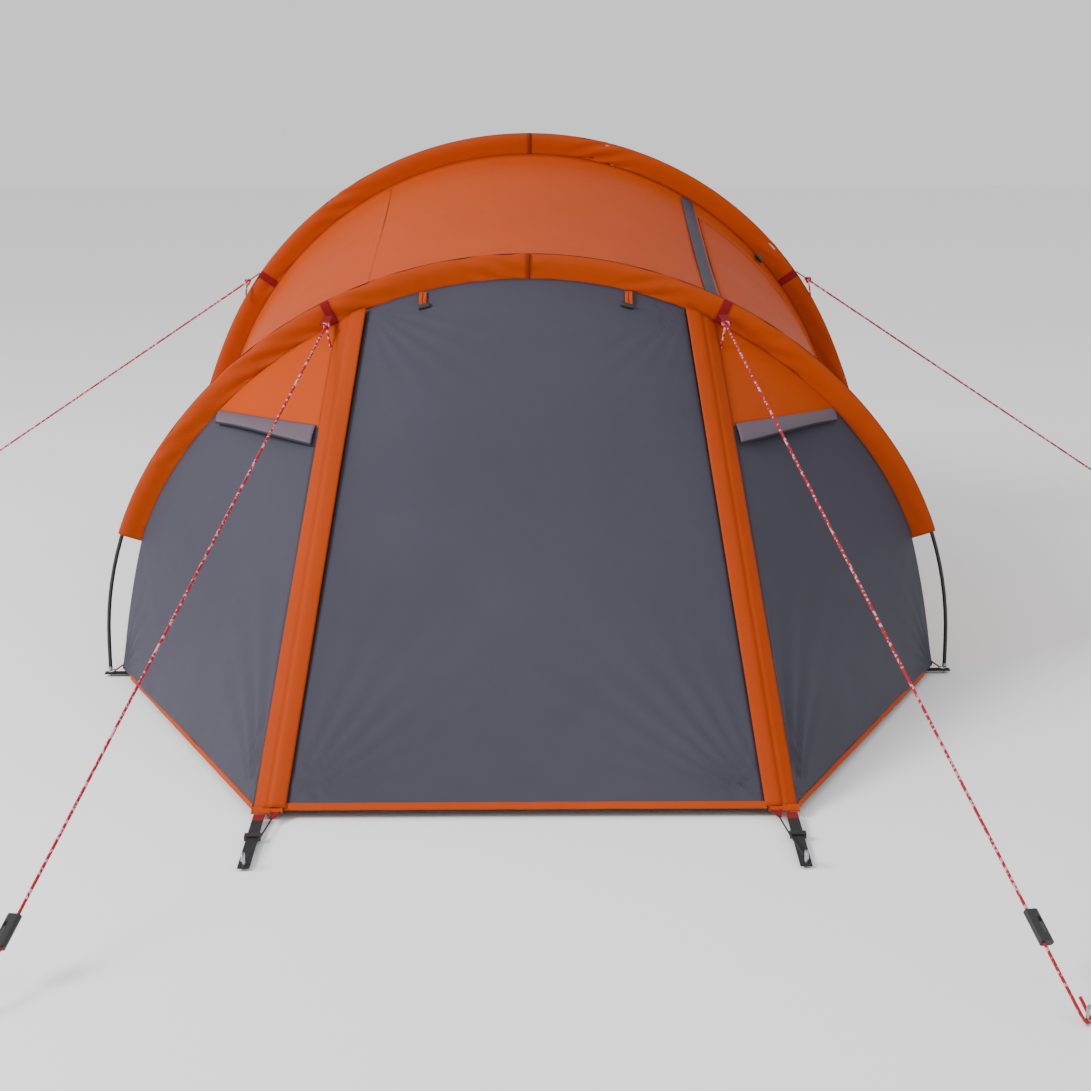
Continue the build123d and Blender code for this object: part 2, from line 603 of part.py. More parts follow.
# ---------------------------------------------------------------- ribbon loops and toggles
def toggle(hoop, angle, side, away, lift, name):
    """A ribbon hung from a sleeve's lower front edge, lying along the skin, and the barrel on its end."""
    x, z = hoop.at(angle, SLEEVE_DEPTH, side)
    radial = Vector(side * sin(radians(angle)), 0, cos(radians(angle)))
    across = Vector(side * cos(radians(angle)), 0, -sin(radians(angle)))
    away = (away - across * away.dot(across)).normalized()
    normal = away.cross(across)
    normal = normal if normal.dot(radial) > 0 else -normal
    root = Vector(x, hoop.y - SLEEVE_WIDTH / 2 - SEAM_GAP, z) + normal * lift
    ribbon = bar(root, away, across, TOGGLE_RIBBON_LENGTH, TOGGLE_RIBBON_WIDTH, 1.5)
    save(ribbon, f"toggle_ribbon_{name}")
    middle = root + away * (TOGGLE_RIBBON_LENGTH + TOGGLE_DIA / 2 + 0.5)
    with BuildPart() as barrel:
        with BuildSketch(Plane(origin=middle, z_dir=across)):
            Circle(TOGGLE_DIA / 2)
        extrude(amount=TOGGLE_LENGTH / 2, both=True)
        fillet(barrel.edges().filter_by(GeomType.CIRCLE), 2.0)
    save(barrel.part, f"toggle_{name}")
    print("toggle", name, "hinge", root, "axis", across)


for name, side in SIDES.items():
    toggle(FRONT, FRONT.angle_at_x(TOGGLE_HALF), side, FRONT_SLOPE, DOOR_TOGGLE_LIFT, f"door_{name}")
roof_fall = unit(0, -BAY_FRONT, FRONT_HEIGHT - MAIN_HEIGHT)
toggle(MAIN, SIDE_TOGGLE_ANGLE, 1, roof_fall, SIDE_TOGGLE_LIFT, "side_door")

# ---------------------------------------------------------------- hem bindings
with BuildPart() as door_binding:
    add(
        bar(
            Vector(-DOOR_BOTTOM_HALF, FRONT_HEM_Y, HEM_HEIGHT) + FRONT_SLOPE * (BINDING_WIDTH / 2 + 0.5),
            RIGHT,
            FRONT_SLOPE,
            2 * DOOR_BOTTOM_HALF,
            BINDING_WIDTH,
            FABRIC,
        )
    )
save(door_binding.part, "door_hem_binding")

with BuildPart() as side_bindings:
    for hoop, toward, reach in ((FRONT, -1, FRONT_REACH), (REAR, 1, REAR_REACH)):
        for side in SIDES.values():
            corner = Vector(side * (HEM_CORNER_HALF + SEAM_GAP), hoop.y + toward * reach, 0)
            foot = Vector(side * (hoop.half_width - FLY_INSET), hoop.y, 0)
            along = (foot - corner).normalized()
            level = Vector(0, 0, HEM_HEIGHT - BINDING_WIDTH / 2 - 1)
            run = (foot - corner).length - SIDE_HEM_STOP
            add(bar(corner + level, along, Vector(0, 0, 1), run, BINDING_WIDTH, FABRIC))
save(side_bindings.part, "side_hem_bindings")

# ---------------------------------------------------------------- corner webbing, pegs and foot straps
corners = [
    (side, FRONT_HEM_Y if toward < 0 else REAR_HEM_Y, toward) for toward in (-1, 1) for side in SIDES.values()
]
loops, straps, ladder_locks, ground_pegs = [], [], [], []
for side, hem_y, toward in corners:
    start = Vector(side * (HEM_CORNER_HALF - WEBBING_WIDTH / 2), hem_y, HEM_HEIGHT - 4)
    peg_foot = Vector(side * CORNER_PEG_HALF, hem_y + toward * CORNER_PEG_REACH, 0)
    end = peg_foot + Vector(0, 0, WEBBING_THICK * 3)
    along = (end - start).normalized()
    across = along.cross(Vector(0, 0, 1)).normalized()
    run = (end - start).length
    loop_start = start + along * CORNER_LOOP_START
    loops.append(bar(loop_start, along, across, CORNER_LOOP_LENGTH, WEBBING_WIDTH, WEBBING_THICK))
    strap_start = CORNER_LOOP_START + CORNER_LOOP_LENGTH + 1.0
    strap_run = run - strap_start + WEBBING_WIDTH / 2
    straps.append(
        bar(
            start + along * strap_start,
            along,
            across,
            strap_run,
            WEBBING_WIDTH,
            WEBBING_THICK,
            hole=PEG_DIA + 3,
            hole_at=strap_run - WEBBING_WIDTH / 2,
        )
    )
    middle = start + along * (run * 0.45)
    lock = Plane(origin=middle, x_dir=across, z_dir=along)
    with BuildPart() as ladder_lock:
        with BuildSketch(lock):
            Rectangle(WEBBING_WIDTH + 8, WEBBING_THICK + 7)
            Rectangle(WEBBING_WIDTH + 1.5, WEBBING_THICK + 1.5, mode=Mode.SUBTRACT)
        extrude(amount=16)
    ladder_locks.append(ladder_lock.part)
    ground_pegs.append(peg(peg_foot.X, peg_foot.Y, 0, toward))
for name, pieces in {
    "corner_loops": loops,
    "corner_straps": straps,
    "strap_adjusters": ladder_locks,
    "corner_pegs": ground_pegs,
}.items():
    with BuildPart() as group:
        add(pieces)
    save(group.part, name)

with BuildPart() as foot_straps:
    for hoop in HOOPS.values():
        for side in SIDES.values():
            inner_x = hoop.half_width - FLY_INSET - FABRIC - SEAM_GAP - 30
            start = Vector(side * inner_x, hoop.y, 7)
            outer_x = hoop.half_width + FOOT_MARGIN
            add(
                bar(
                    start,
                    RIGHT * side,
                    Vector(0, 1, 0),
                    outer_x - inner_x,
                    WEBBING_WIDTH,
                    WEBBING_THICK,
                    hole=TIP_DIA + 1,
                    hole_at=hoop.half_width - inner_x,
                )
            )
save(foot_straps.part, "foot_straps")

# ---------------------------------------------------------------- guy lines, tabs, tensioners and pegs
guy_tabs, guy_pegs = [], []
front_tab = FRONT.at(FRONT.angle_at_x(FRONT_TAB_HALF), SLEEVE_DEPTH / 2)
main_tab = MAIN.at(MAIN_TAB_ANGLE, -SLEEVE_RIM - 1)
front_tab_y = FRONT_Y - SLEEVE_WIDTH / 2 - TAB_THICK
front_peg_y = FRONT_Y - FRONT_PEG_REACH
lines = {
    "front": (front_tab, front_tab_y, FRONT_PEG_HALF, front_peg_y, FRONT_TENSIONER_REST),
    "main": (main_tab, MAIN_Y, MAIN_PEG_HALF, MAIN_Y, MAIN_TENSIONER_REST),
}
for label, ((x, z), tab_y, peg_half, peg_y, rest) in lines.items():
    for name, side in SIDES.items():
        base = Vector(side * x, tab_y, z)
        stake = Vector(side * peg_half, peg_y, CORD_DIA + 4)
        along = (stake - base).normalized()
        across = along.cross(Vector(0, 0, 1)).normalized() * side
        guy_tabs.append(bar(base + along * 2, along, across, TAB_LENGTH, WEBBING_WIDTH, TAB_THICK))
        bight = (PEG_DIA + CORD_DIA) / 2 + 0.8
        start = base + along * (TAB_LENGTH + 2.2) + across * bight
        turn = stake + along * (bight / Vector(along.X, along.Y).length)
        back = turn - across * bight - along * EYE_LENGTH
        route = [start, turn + across * bight, turn - across * bight, back]
        bend = bight * 0.98
        save(tube(route, [bend, bend], CORD_DIA), f"guy_line_{label}_{name}")
        print("cord", label, name, route, bend)
        guy_pegs.append(peg(stake.X, stake.Y, along.X, along.Y))
        slide = stake + across * bight - along * rest
        end = Plane(origin=slide, x_dir=across, z_dir=-along)
        with BuildPart() as tensioner:
            with BuildSketch(end):
                with Locations((-TENSIONER_OFFSET, 0)):
                    SlotOverall(TENSIONER_WIDTH, TENSIONER_THICK)
                Circle(CORD_DIA / 2 + 0.5, mode=Mode.SUBTRACT)
            extrude(amount=TENSIONER_LENGTH)
            middle = slide - along * (TENSIONER_LENGTH / 2)
            with BuildSketch(Plane(origin=middle, x_dir=across, z_dir=end.y_dir)):
                with Locations((-TENSIONER_OFFSET * 2.2, 0)):
                    SlotOverall(TENSIONER_LENGTH * 0.5, CORD_DIA, rotation=90)
            extrude(amount=TENSIONER_THICK, both=True, mode=Mode.SUBTRACT)
        save(tensioner.part, f"tensioner_{label}_{name}")
        print("tensioner", label, name, "axis", -along, "run", (start - slide).length)
for name, pieces in {"guy_tabs": guy_tabs, "guy_pegs": guy_pegs}.items():
    with BuildPart() as group:
        add(pieces)
    save(group.part, name)


# ---------------------------------------------------------------- inner tent
def blend(a, b, share):
    """A value between a and b."""
    return a + (b - a) * share


INNER_FRONT_Y = FRONT_Y + INNER_FRONT_SETBACK
INNER_INSET = FLY_INSET + INNER_CLEARANCE
REAR_PANEL_SLOPE = (REAR_HEIGHT - FLY_INSET - HEM_HEIGHT) / REAR_REACH
INNER_REAR_Y = REAR_HEM_Y - (INNER_REAR_HEIGHT - HEM_HEIGHT) / REAR_PANEL_SLOPE - INNER_REAR_SETBACK
front_share = INNER_FRONT_SETBACK / BAY_FRONT
inner_leg = FLOOR_TRAY_HEIGHT + INNER_LEG
inner_rear_leg = FLOOR_TRAY_HEIGHT + INNER_REAR_LEG
inner_sections = [
    Hoop(
        INNER_FRONT_Y,
        blend(FRONT_HEIGHT, MAIN_HEIGHT, front_share) - INNER_INSET,
        blend(FRONT_HALF_WIDTH, MAIN_HALF_WIDTH, front_share) - INNER_INSET,
        inner_leg,
        INNER_CROWN,
    ),
    Hoop(MAIN_Y, MAIN_HEIGHT - INNER_INSET, MAIN_HALF_WIDTH - INNER_INSET, inner_leg, INNER_CROWN),
    Hoop(REAR_Y, REAR_HEIGHT - INNER_INSET, REAR_HALF_WIDTH - INNER_INSET, inner_leg, INNER_CROWN),
    Hoop(INNER_REAR_Y, INNER_REAR_HEIGHT, INNER_REAR_HALF, inner_rear_leg, INNER_REAR_CROWN),
]
canopy_foot = FLOOR_TRAY_HEIGHT + SEAM_GAP


def inner_band(hoop):
    """One section of the inner canopy."""
    with BuildSketch(upright(hoop.y)) as section:
        with BuildLine():
            for depth in (0, FABRIC):
                hoop.curve(depth, 90.0, canopy_foot)
            for side in SIDES.values():
                outer = side * hoop.half_width
                Line((outer, canopy_foot), (outer - side * FABRIC, canopy_foot))
        make_face()
    return section.sketch


with BuildPart() as inner_canopy:
    for section in inner_sections:
        add(inner_band(section))
    loft(ruled=True)
save(inner_canopy.part, "inner_canopy")

tray_outline = [(section.half_width, section.y) for section in inner_sections]
tray_outline += [(-x, y) for x, y in reversed(tray_outline)]
with BuildPart() as groundsheet:
    with BuildSketch():
        with BuildLine():
            Polyline(*tray_outline, close=True)
        make_face()
    extrude(amount=FLOOR_TRAY_HEIGHT)
    with BuildSketch(Plane.XY.offset(FLOOR_THICK)):
        with BuildLine():
            Polyline(*tray_outline, close=True)
        make_face()
        offset(amount=-FLOOR_THICK, kind=Kind.INTERSECTION)
    extrude(amount=FLOOR_TRAY_HEIGHT, mode=Mode.SUBTRACT)
save(groundsheet.part, "inner_groundsheet")


def inner_wall(hoop, y):
    """An upright wall that fills a section of the inner tent, its front face at y."""
    with BuildPart() as wall:
        with BuildSketch(upright(y)):
            with BuildLine():
                hoop.curve(FABRIC + 1, 90.0, canopy_foot)
                foot = hoop.half_width - FABRIC - 1
                Line((-foot, canopy_foot), (foot, canopy_foot))
            make_face()
        extrude(amount=-FABRIC)
    return wall.part


door_low, door_high = INNER_DOOR_SILL, INNER_DOOR_SILL + INNER_DOOR_HEIGHT
with BuildPart() as inner_front:
    add(inner_wall(inner_sections[0], INNER_FRONT_Y + 4))
    with BuildSketch(upright(INNER_FRONT_Y)) as opening:
        with Locations((0, (door_low + door_high) / 2)):
            RectangleRounded(2 * INNER_DOOR_HALF, INNER_DOOR_HEIGHT, INNER_DOOR_CORNER)
    extrude(amount=40, both=True, mode=Mode.SUBTRACT)
save(inner_front.part, "inner_front_wall")

with BuildPart() as inner_door:
    with BuildSketch(upright(INNER_FRONT_Y + 4)):
        with Locations((0, (door_low + door_high) / 2)):
            RectangleRounded(
                2 * (INNER_DOOR_HALF - SEAM_GAP),
                INNER_DOOR_HEIGHT - 2 * SEAM_GAP,
                INNER_DOOR_CORNER - SEAM_GAP,
            )
    extrude(amount=-FABRIC)
save(inner_door.part, "inner_door")

with BuildPart() as inner_rear:
    add(inner_wall(inner_sections[-1], INNER_REAR_Y - FABRIC - 4))
save(inner_rear.part, "inner_rear_wall")

with BuildPart() as hangers:
    for angle in HANGER_ANGLES:
        x, z = MAIN.at(abs(angle), 0, 1 if angle >= 0 else -1)
        inward = Vector(-x, 0, MAIN.crown_z - z).normalized()
        start = Vector(x, MAIN_Y, z) + inward * (FLY_INSET + FABRIC + 2)
        with BuildSketch(Plane(origin=start, z_dir=inward)):
            Circle(HANGER_DIA / 2)
        extrude(amount=INNER_CLEARANCE - FABRIC - 12)
save(hangers.part, "inner_hangers")
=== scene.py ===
# %% [markdown]
# A tunnel tent is cloth pulled tight over three hooped poles. The poles, pegs, zips and webbing come
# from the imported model, so they stay as they are. This lesson makes everything that is sewn: one mesh
# for each panel, with its own tension folds, and the braided guy lines.

# %% Load the frame
import math

import bmesh
import bpy
from mathutils import Matrix, Vector, noise

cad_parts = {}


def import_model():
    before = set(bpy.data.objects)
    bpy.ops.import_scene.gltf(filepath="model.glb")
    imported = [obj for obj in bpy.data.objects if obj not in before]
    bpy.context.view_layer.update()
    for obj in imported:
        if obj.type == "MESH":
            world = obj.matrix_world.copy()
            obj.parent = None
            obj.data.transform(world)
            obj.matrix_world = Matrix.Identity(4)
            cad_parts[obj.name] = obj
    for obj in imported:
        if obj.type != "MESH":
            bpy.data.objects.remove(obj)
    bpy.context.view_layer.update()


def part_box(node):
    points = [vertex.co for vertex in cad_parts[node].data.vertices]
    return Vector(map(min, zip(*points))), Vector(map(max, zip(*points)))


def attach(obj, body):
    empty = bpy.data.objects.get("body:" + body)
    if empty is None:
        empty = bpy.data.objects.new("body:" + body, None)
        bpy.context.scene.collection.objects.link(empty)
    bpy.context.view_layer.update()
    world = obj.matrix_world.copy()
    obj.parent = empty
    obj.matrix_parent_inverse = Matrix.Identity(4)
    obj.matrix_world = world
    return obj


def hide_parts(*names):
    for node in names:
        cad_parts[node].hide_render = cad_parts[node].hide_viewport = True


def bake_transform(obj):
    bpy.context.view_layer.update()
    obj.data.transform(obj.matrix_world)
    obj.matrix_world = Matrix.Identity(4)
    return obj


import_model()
MM = 0.001


def low(node):
    """A node's lowest corner."""
    return Vector(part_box(node)[0])


def high(node):
    """A node's highest corner."""
    return Vector(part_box(node)[1])


# %% [markdown]
# Blender's shader nodes are clumsy to wire one by one. A small class that wraps a socket lets the
# arithmetic be written as it would be on paper: `1 - mask * 0.3` adds two Math nodes.


# %% Sockets that add up
class Wire:
    """A node's output, with the arithmetic operators."""

    def __init__(self, finish, socket):
        self.finish, self.socket = finish, socket

    def math(self, operation, first, second):
        return self.finish.node("Math", {"operation": operation}, {0: first, 1: second})

    def __add__(self, other):
        return self.math("ADD", self, other)

    def __radd__(self, other):
        return self.math("ADD", other, self)

    def __sub__(self, other):
        return self.math("SUBTRACT", self, other)

    def __rsub__(self, other):
        return self.math("SUBTRACT", other, self)

    def __mul__(self, other):
        return self.math("MULTIPLY", self, other)

    def __rmul__(self, other):
        return self.math("MULTIPLY", other, self)

    def __pow__(self, other):
        return self.math("POWER", self, other)

    def __gt__(self, other):
        return self.math("GREATER_THAN", self, other)


class Finish:
    """One material: a shader, and one method that adds any node."""

    def __init__(self, name, roughness=0.6, sheen=0.0, specular=0.5, metallic=0.0):
        self.material = bpy.data.materials.new(name)
        self.material.use_nodes = True
        self.tree = self.material.node_tree
        self.shader = self.tree.nodes["Principled BSDF"]
        self.shader.inputs["Roughness"].default_value = roughness
        self.shader.inputs["Sheen Weight"].default_value = sheen
        self.shader.inputs["Specular IOR Level"].default_value = specular
        self.shader.inputs["Metallic"].default_value = metallic

    def node(self, kind, settings=None, inputs=None, output=0):
        made = self.tree.nodes.new("ShaderNode" + kind)
        for key, value in (settings or {}).items():
            if key == "stops":
                ramp = made.color_ramp.elements
                ramp[0].position, ramp[0].color = value[0]
                ramp[1].position, ramp[1].color = value[-1]
                for place, colour in value[1:-1]:
                    ramp.new(place).color = colour
            else:
                setattr(made, key, value)
        for key, value in (inputs or {}).items():
            if isinstance(value, Wire):
                self.tree.links.new(value.socket, made.inputs[key])
            else:
                made.inputs[key].default_value = value
        return Wire(self, made.outputs[output])

    def send(self, wire, name):
        self.tree.links.new(wire.socket, self.shader.inputs[name])

    def place(self):
        return self.node("TexCoord", output="Object")

    def grain(self, scale, detail=2.0, roughness=0.5, stretch=None):
        where = self.place()
        if stretch:
            where = self.node("Mapping", {}, {"Vector": where, "Scale": stretch})
        return self.node("TexNoise", {}, {"Vector": where, "Scale": scale, "Detail": detail, "Roughness": roughness})

    def weave(self, pitch):
        """Threads across and along: one where a thread is on top."""
        where = self.place()
        threads = [
            self.node("TexWave", {"bands_direction": axis}, {"Vector": where, "Scale": 1 / pitch, "Distortion": 0.4})
            for axis in ("X", "Z")
        ]
        return threads[0] * 0.5 + threads[1] * 0.5

    def blend(self, mask, one, two):
        return self.node(
            "Mix", {"data_type": "RGBA"}, {0: mask, 6: one, 7: two}, output=2
        )

    def bump(self, height, depth, strength=1.0):
        self.send(self.node("Bump", {}, {"Height": height, "Distance": depth, "Strength": strength}), "Normal")


def rgb(red, green, blue):
    """A colour given as it looks on a screen, from 0 to 255."""
    return tuple(((c / 255 + 0.055) / 1.055) ** 2.4 if c > 10 else c / 3294 for c in (red, green, blue)) + (1.0,)


# %% [markdown]
# Coated polyester is a fine plain weave with a dull, slightly waxy face. It keeps fold memory from
# its bag as faint random creases, so its bump is a weave under a slow crumple, and its colour drifts
# a little where the coating is thicker.


# %% Cloth finishes
def taffeta(name, light, dark, roughness=0.62, crumple=0.0016):
    cloth = Finish(name, roughness, sheen=0.0, specular=0.12)
    drift = cloth.grain(2.2, 4.0, 0.6)
    cloth.send(cloth.blend(drift, dark, light), "Base Color")
    cloth.send(roughness - 0.08 + cloth.grain(9.0) * 0.16, "Roughness")
    creases = cloth.grain(16.0, 5.0, 0.55) + cloth.weave(0.0009) * 0.05
    cloth.bump(creases, crumple)
    return cloth.material


ORANGE = taffeta("orange_taffeta", rgb(182, 70, 12), rgb(164, 58, 8))
DEEP_ORANGE = taffeta("sleeve_orange", rgb(170, 62, 8), rgb(152, 52, 4), 0.66)
GREY = taffeta("slate_taffeta", rgb(70, 69, 80), rgb(58, 56, 68))
PALE_GREY = taffeta("pale_grey_taffeta", rgb(104, 92, 102), rgb(88, 78, 88))
INNER = taffeta("inner_polyester", rgb(200, 198, 194), rgb(184, 182, 178), 0.8, 0.0008)
FLOOR = taffeta("floor_laminate", rgb(66, 70, 78), rgb(54, 58, 66), 0.45, 0.001)


# %% [markdown]
# Webbing and braid are thread, not sheet: ribs across the tape, and for the guy line a red braid with
# pale reflective flecks.


# %% Webbing, braid, plastic and metal
def webbing(name, colour):
    tape = Finish(name, 0.82, sheen=0.04, specular=0.2)
    ribs = tape.grain(900.0, 1.0) * 0.5 + tape.weave(0.0016) * 0.5
    # Darker where the rib bump is low: painted shade in the weave's grooves.
    painted_groove_shade = tape.blend(ribs, tuple(c * 0.6 for c in colour[:3]) + (1.0,), colour)
    tape.send(painted_groove_shade, "Base Color")
    tape.bump(ribs, 0.0006)
    return tape.material


def braid(name, colour, fleck):
    cord = Finish(name, 0.7, sheen=0.04, specular=0.2)
    flecks = cord.grain(150.0, 0.0)
    mask = cord.node("ValToRGB", {"stops": [(0.57, (0, 0, 0, 1)), (0.62, (1, 1, 1, 1))]}, {"Fac": flecks})
    cord.send(cord.blend(mask, colour, fleck), "Base Color")
    cord.bump(cord.grain(1500.0, 1.0), 0.0005)
    return cord.material


def plastic(name, colour, roughness=0.42):
    shell = Finish(name, roughness, specular=0.5)
    shell.send(shell.blend(shell.grain(40.0), colour, tuple(c * 1.3 for c in colour[:3]) + (1.0,)), "Base Color")
    shell.send(roughness - 0.05 + shell.grain(120.0) * 0.1, "Roughness")
    shell.bump(shell.grain(700.0), 0.00012)
    return shell.material


def metal(name, colour, roughness=0.32):
    steel = Finish(name, roughness, metallic=1.0)
    steel.send(steel.blend(steel.grain(60.0, 3.0), colour, tuple(c * 0.7 for c in colour[:3]) + (1.0,)), "Base Color")
    steel.send(roughness - 0.08 + steel.grain(25.0) * 0.2, "Roughness")
    steel.bump(steel.grain(500.0, 2.0, stretch=(1, 1, 0.1)), 0.0001)
    return steel.material


RED_TAPE = webbing("red_webbing", rgb(140, 8, 18))
BLACK_TAPE = webbing("black_webbing", rgb(40, 40, 43))
ZIP_TAPE = webbing("zip_tape_weave", rgb(58, 60, 68))
CORD = braid("guy_braid", rgb(158, 14, 32), rgb(206, 146, 156))
ELASTIC = webbing("elastic_braid", rgb(48, 48, 50))
BLACK_PLASTIC = plastic("black_acetal", rgb(26, 26, 28))
FIBREGLASS = plastic("black_fibreglass", rgb(24, 24, 26), 0.3)
STEEL = metal("zinc_steel", rgb(176, 178, 182))
DARK_METAL = metal("zip_metal", rgb(84, 84, 88))
# Dark brown for the line just behind each sleeve's outer rim: painted shadow along that edge.
SLEEVE_RIM_SHADOW = taffeta("dark_piping", rgb(72, 44, 34), rgb(58, 36, 30), 0.7)
PIPING_ORANGE = taffeta("felled_seam", rgb(128, 44, 8), rgb(110, 36, 6), 0.7)
PIPING_GREY = taffeta("grey_piping", rgb(50, 50, 58), rgb(40, 40, 46), 0.6)
BINDING_ORANGE = taffeta("binding_orange", rgb(182, 68, 12), rgb(158, 54, 8), 0.7)

for node, finish in {
    "pole_front": FIBREGLASS,
    "pole_middle": FIBREGLASS,
    "pole_rear": FIBREGLASS,
    "pole_ferrules": STEEL,
    "pole_tips": STEEL,
    "shock_cords": ELASTIC,
    "corner_pegs": STEEL,
    "guy_pegs": STEEL,
    "corner_straps": BLACK_TAPE,
    "foot_straps": BLACK_TAPE,
    "corner_loops": RED_TAPE,
    "guy_tabs": RED_TAPE,
    "strap_adjusters": BLACK_PLASTIC,
    "door_zip_tapes": ZIP_TAPE,
    "zip_slider_left": DARK_METAL,
    "zip_slider_right": DARK_METAL,
    "toggle_door_left": BLACK_PLASTIC,
    "toggle_door_right": BLACK_PLASTIC,
    "toggle_side_door": BLACK_PLASTIC,
    "tensioner_front_left": BLACK_PLASTIC,
    "tensioner_front_right": BLACK_PLASTIC,
    "tensioner_main_left": BLACK_PLASTIC,
    "tensioner_main_right": BLACK_PLASTIC,
    "inner_hangers": ELASTIC,
}.items():
    bpy.data.objects[node].data.materials.clear()
    bpy.data.objects[node].data.materials.append(finish)

# %% [markdown]
# Each hoop is the design's own curve: a crown arc, two side arcs that end upright, and short legs.
# Its height, width and place are read from the poles, and only the crown angle and the leg are named
# here. A station runs from -3 at the left hem to 3 at the right hem, one unit for each stretch.


# %% Hoops
class Hoop:
    def __init__(self, pole, crown, leg):
        lowest, highest = low(pole), high(pole)
        radius = POLE_DIA / 2
        self.y = (lowest.y + highest.y) / 2
        self.height = highest.z - radius
        self.half = highest.x - radius
        self.leg, self.crown = leg, math.radians(crown)
        rise = self.height - leg
        s, c = math.sin(self.crown), math.cos(self.crown)
        share = s * c - (1 - s) * (1 - c)
        self.big = (self.half * c - (1 - s) * rise) / share
        self.small = (s * rise - (1 - c) * self.half) / share
        self.crown_z = self.height - self.big
        self.side_x = self.half - self.small

    def at(self, angle, inset=0.0):
        """The point (x, z) at a signed angle from straight up."""
        side, a = math.copysign(1, angle), abs(angle)
        if a <= self.crown:
            r = self.big - inset
            return side * r * math.sin(a), self.crown_z + r * math.cos(a)
        r = self.small - inset
        return side * (self.side_x + r * math.sin(a)), self.leg + r * math.cos(a)

    def station(self, k, inset=0.0):
        """The point at station k."""
        side, k = math.copysign(1, k), abs(k)
        if k <= 1:
            return self.at(side * k * self.crown, inset)
        if k <= 2:
            return self.at(side * (self.crown + (k - 1) * (math.pi / 2 - self.crown)), inset)
        return side * (self.half - inset), self.leg + (k - 2) * (HEM - self.leg)

    def edge(self, x, z):
        """x where the cloth's free edge below the sleeve is cut in a hollow and pulled out to the foot."""
        t = min(max((SLEEVE_END - z) / (SLEEVE_END - HEM), 0.0), 1.0)
        return x + math.copysign(1, x) * (16 * MM * t - 44 * MM * t * (1 - t))

    def angle_at_x(self, x, inset=0.0):
        return math.asin(x / (self.big - inset))


POLE_DIA = 8.5 * MM
HEM = 18 * MM
SEAM_INSET, INSET = 43.5 * MM, 49.8 * MM
SLEEVE_END = 0.320
FRONT = Hoop("pole_front", 55, 79 * MM)
MAIN = Hoop("pole_middle", 65, 60 * MM)
REAR = Hoop("pole_rear", 55, 70 * MM)
print("hoops", [(round(h.y, 3), round(h.height, 3), round(h.half, 3)) for h in (FRONT, MAIN, REAR)])


# %% [markdown]
# Every panel is a grid over a surface given by a function of two shares, u across and v along. A
# relief function lifts each point along the surface's normal: slow billows, fold memory and the
# straight tension folds that run out of a loaded corner. The mesh then gets the thickness of doubled
# cloth, and the size it was cut to is printed.


# %% Panel maker
def lerp(a, b, share):
    return a + (b - a) * share


def smooth(low_end, high_end, x):
    t = min(max((x - low_end) / (high_end - low_end), 0.0), 1.0)
    return t * t * (3 - 2 * t)


def ripple(point, size, seed=0.0):
    """Smooth noise of about one unit, with a given wavelength."""
    return noise.noise(Vector(point) / size + Vector((seed, seed * 0.7, -seed)))


def rays(point, corner, heading, normal, spread, count, reach, depth, seed=0.0):
    """Straight folds that fan out of a loaded corner and die away."""
    d = Vector(point) - Vector(corner)
    r = d.length
    if r < 1e-6:
        return 0.0
    ahead = Vector(heading).normalized()
    beside = Vector(normal).cross(ahead)
    angle = math.atan2(d.dot(beside), d.dot(ahead))
    if abs(angle) > spread:
        return 0.0
    share = angle / spread
    wobble = 0.35 * ripple(point, 0.4, seed)
    fold = math.cos(math.pi * (count * share + wobble)) * (1 - share * share)
    return depth * fold * math.exp(-r / reach) * smooth(0.0, 0.08, r)


def grid(name, surface, us, vs, relief=None, skip=None, material=None, thickness=1.2 * MM):
    """A cloth mesh over surface(u, v), for u in us and v in vs."""
    mesh = bpy.data.meshes.new(name)
    built = bmesh.new()
    rows = []
    for u in us:
        row = []
        for v in vs:
            p = Vector(surface(u, v))
            if relief:
                e = 1e-3
                du = Vector(surface(min(u + e, 1), v)) - Vector(surface(max(u - e, 0), v))
                dv = Vector(surface(u, min(v + e, 1))) - Vector(surface(u, max(v - e, 0)))
                n = du.cross(dv)
                n = n.normalized() if n.length > 1e-12 else Vector((0, 0, 1))
                p = p + n * relief(u, v, p, n)
            row.append(built.verts.new(p))
        rows.append(row)
    for i in range(len(us) - 1):
        for j in range(len(vs) - 1):
            if skip and skip((us[i] + us[i + 1]) / 2, (vs[j] + vs[j + 1]) / 2):
                continue
            built.faces.new((rows[i][j], rows[i + 1][j], rows[i + 1][j + 1], rows[i][j + 1]))
    bmesh.ops.remove_doubles(built, verts=built.verts, dist=0.05 * MM)
    bmesh.ops.delete(built, geom=[v for v in built.verts if not v.link_faces], context="VERTS")
    built.to_mesh(mesh)
    built.free()
    mesh.polygons.foreach_set("use_smooth", [True] * len(mesh.polygons))
    piece = bpy.data.objects.new(name, mesh)
    bpy.context.collection.objects.link(piece)
    if material:
        mesh.materials.append(material)
    if thickness:
        solid = piece.modifiers.new("thickness", "SOLIDIFY")
        solid.thickness, solid.offset = thickness, 0.0
    return piece


def cut_size(surface, us, vs):
    """The panel's flat width, length and area, summed over its grid."""
    points = [[Vector(surface(u, v)) for v in vs] for u in us]
    width = max(sum((points[i + 1][j] - points[i][j]).length for i in range(len(us) - 1)) for j in range(len(vs)))
    length = max(sum((row[j + 1] - row[j]).length for j in range(len(vs) - 1)) for row in points)
    area = 0.0
    for i in range(len(us) - 1):
        for j in range(len(vs) - 1):
            a, b, c, d = points[i][j], points[i + 1][j], points[i + 1][j + 1], points[i][j + 1]
            area += ((b - a).cross(c - a).length + (c - a).cross(d - a).length) / 2
    return width, length, area


def spread_of(count):
    return [i / count for i in range(count + 1)]


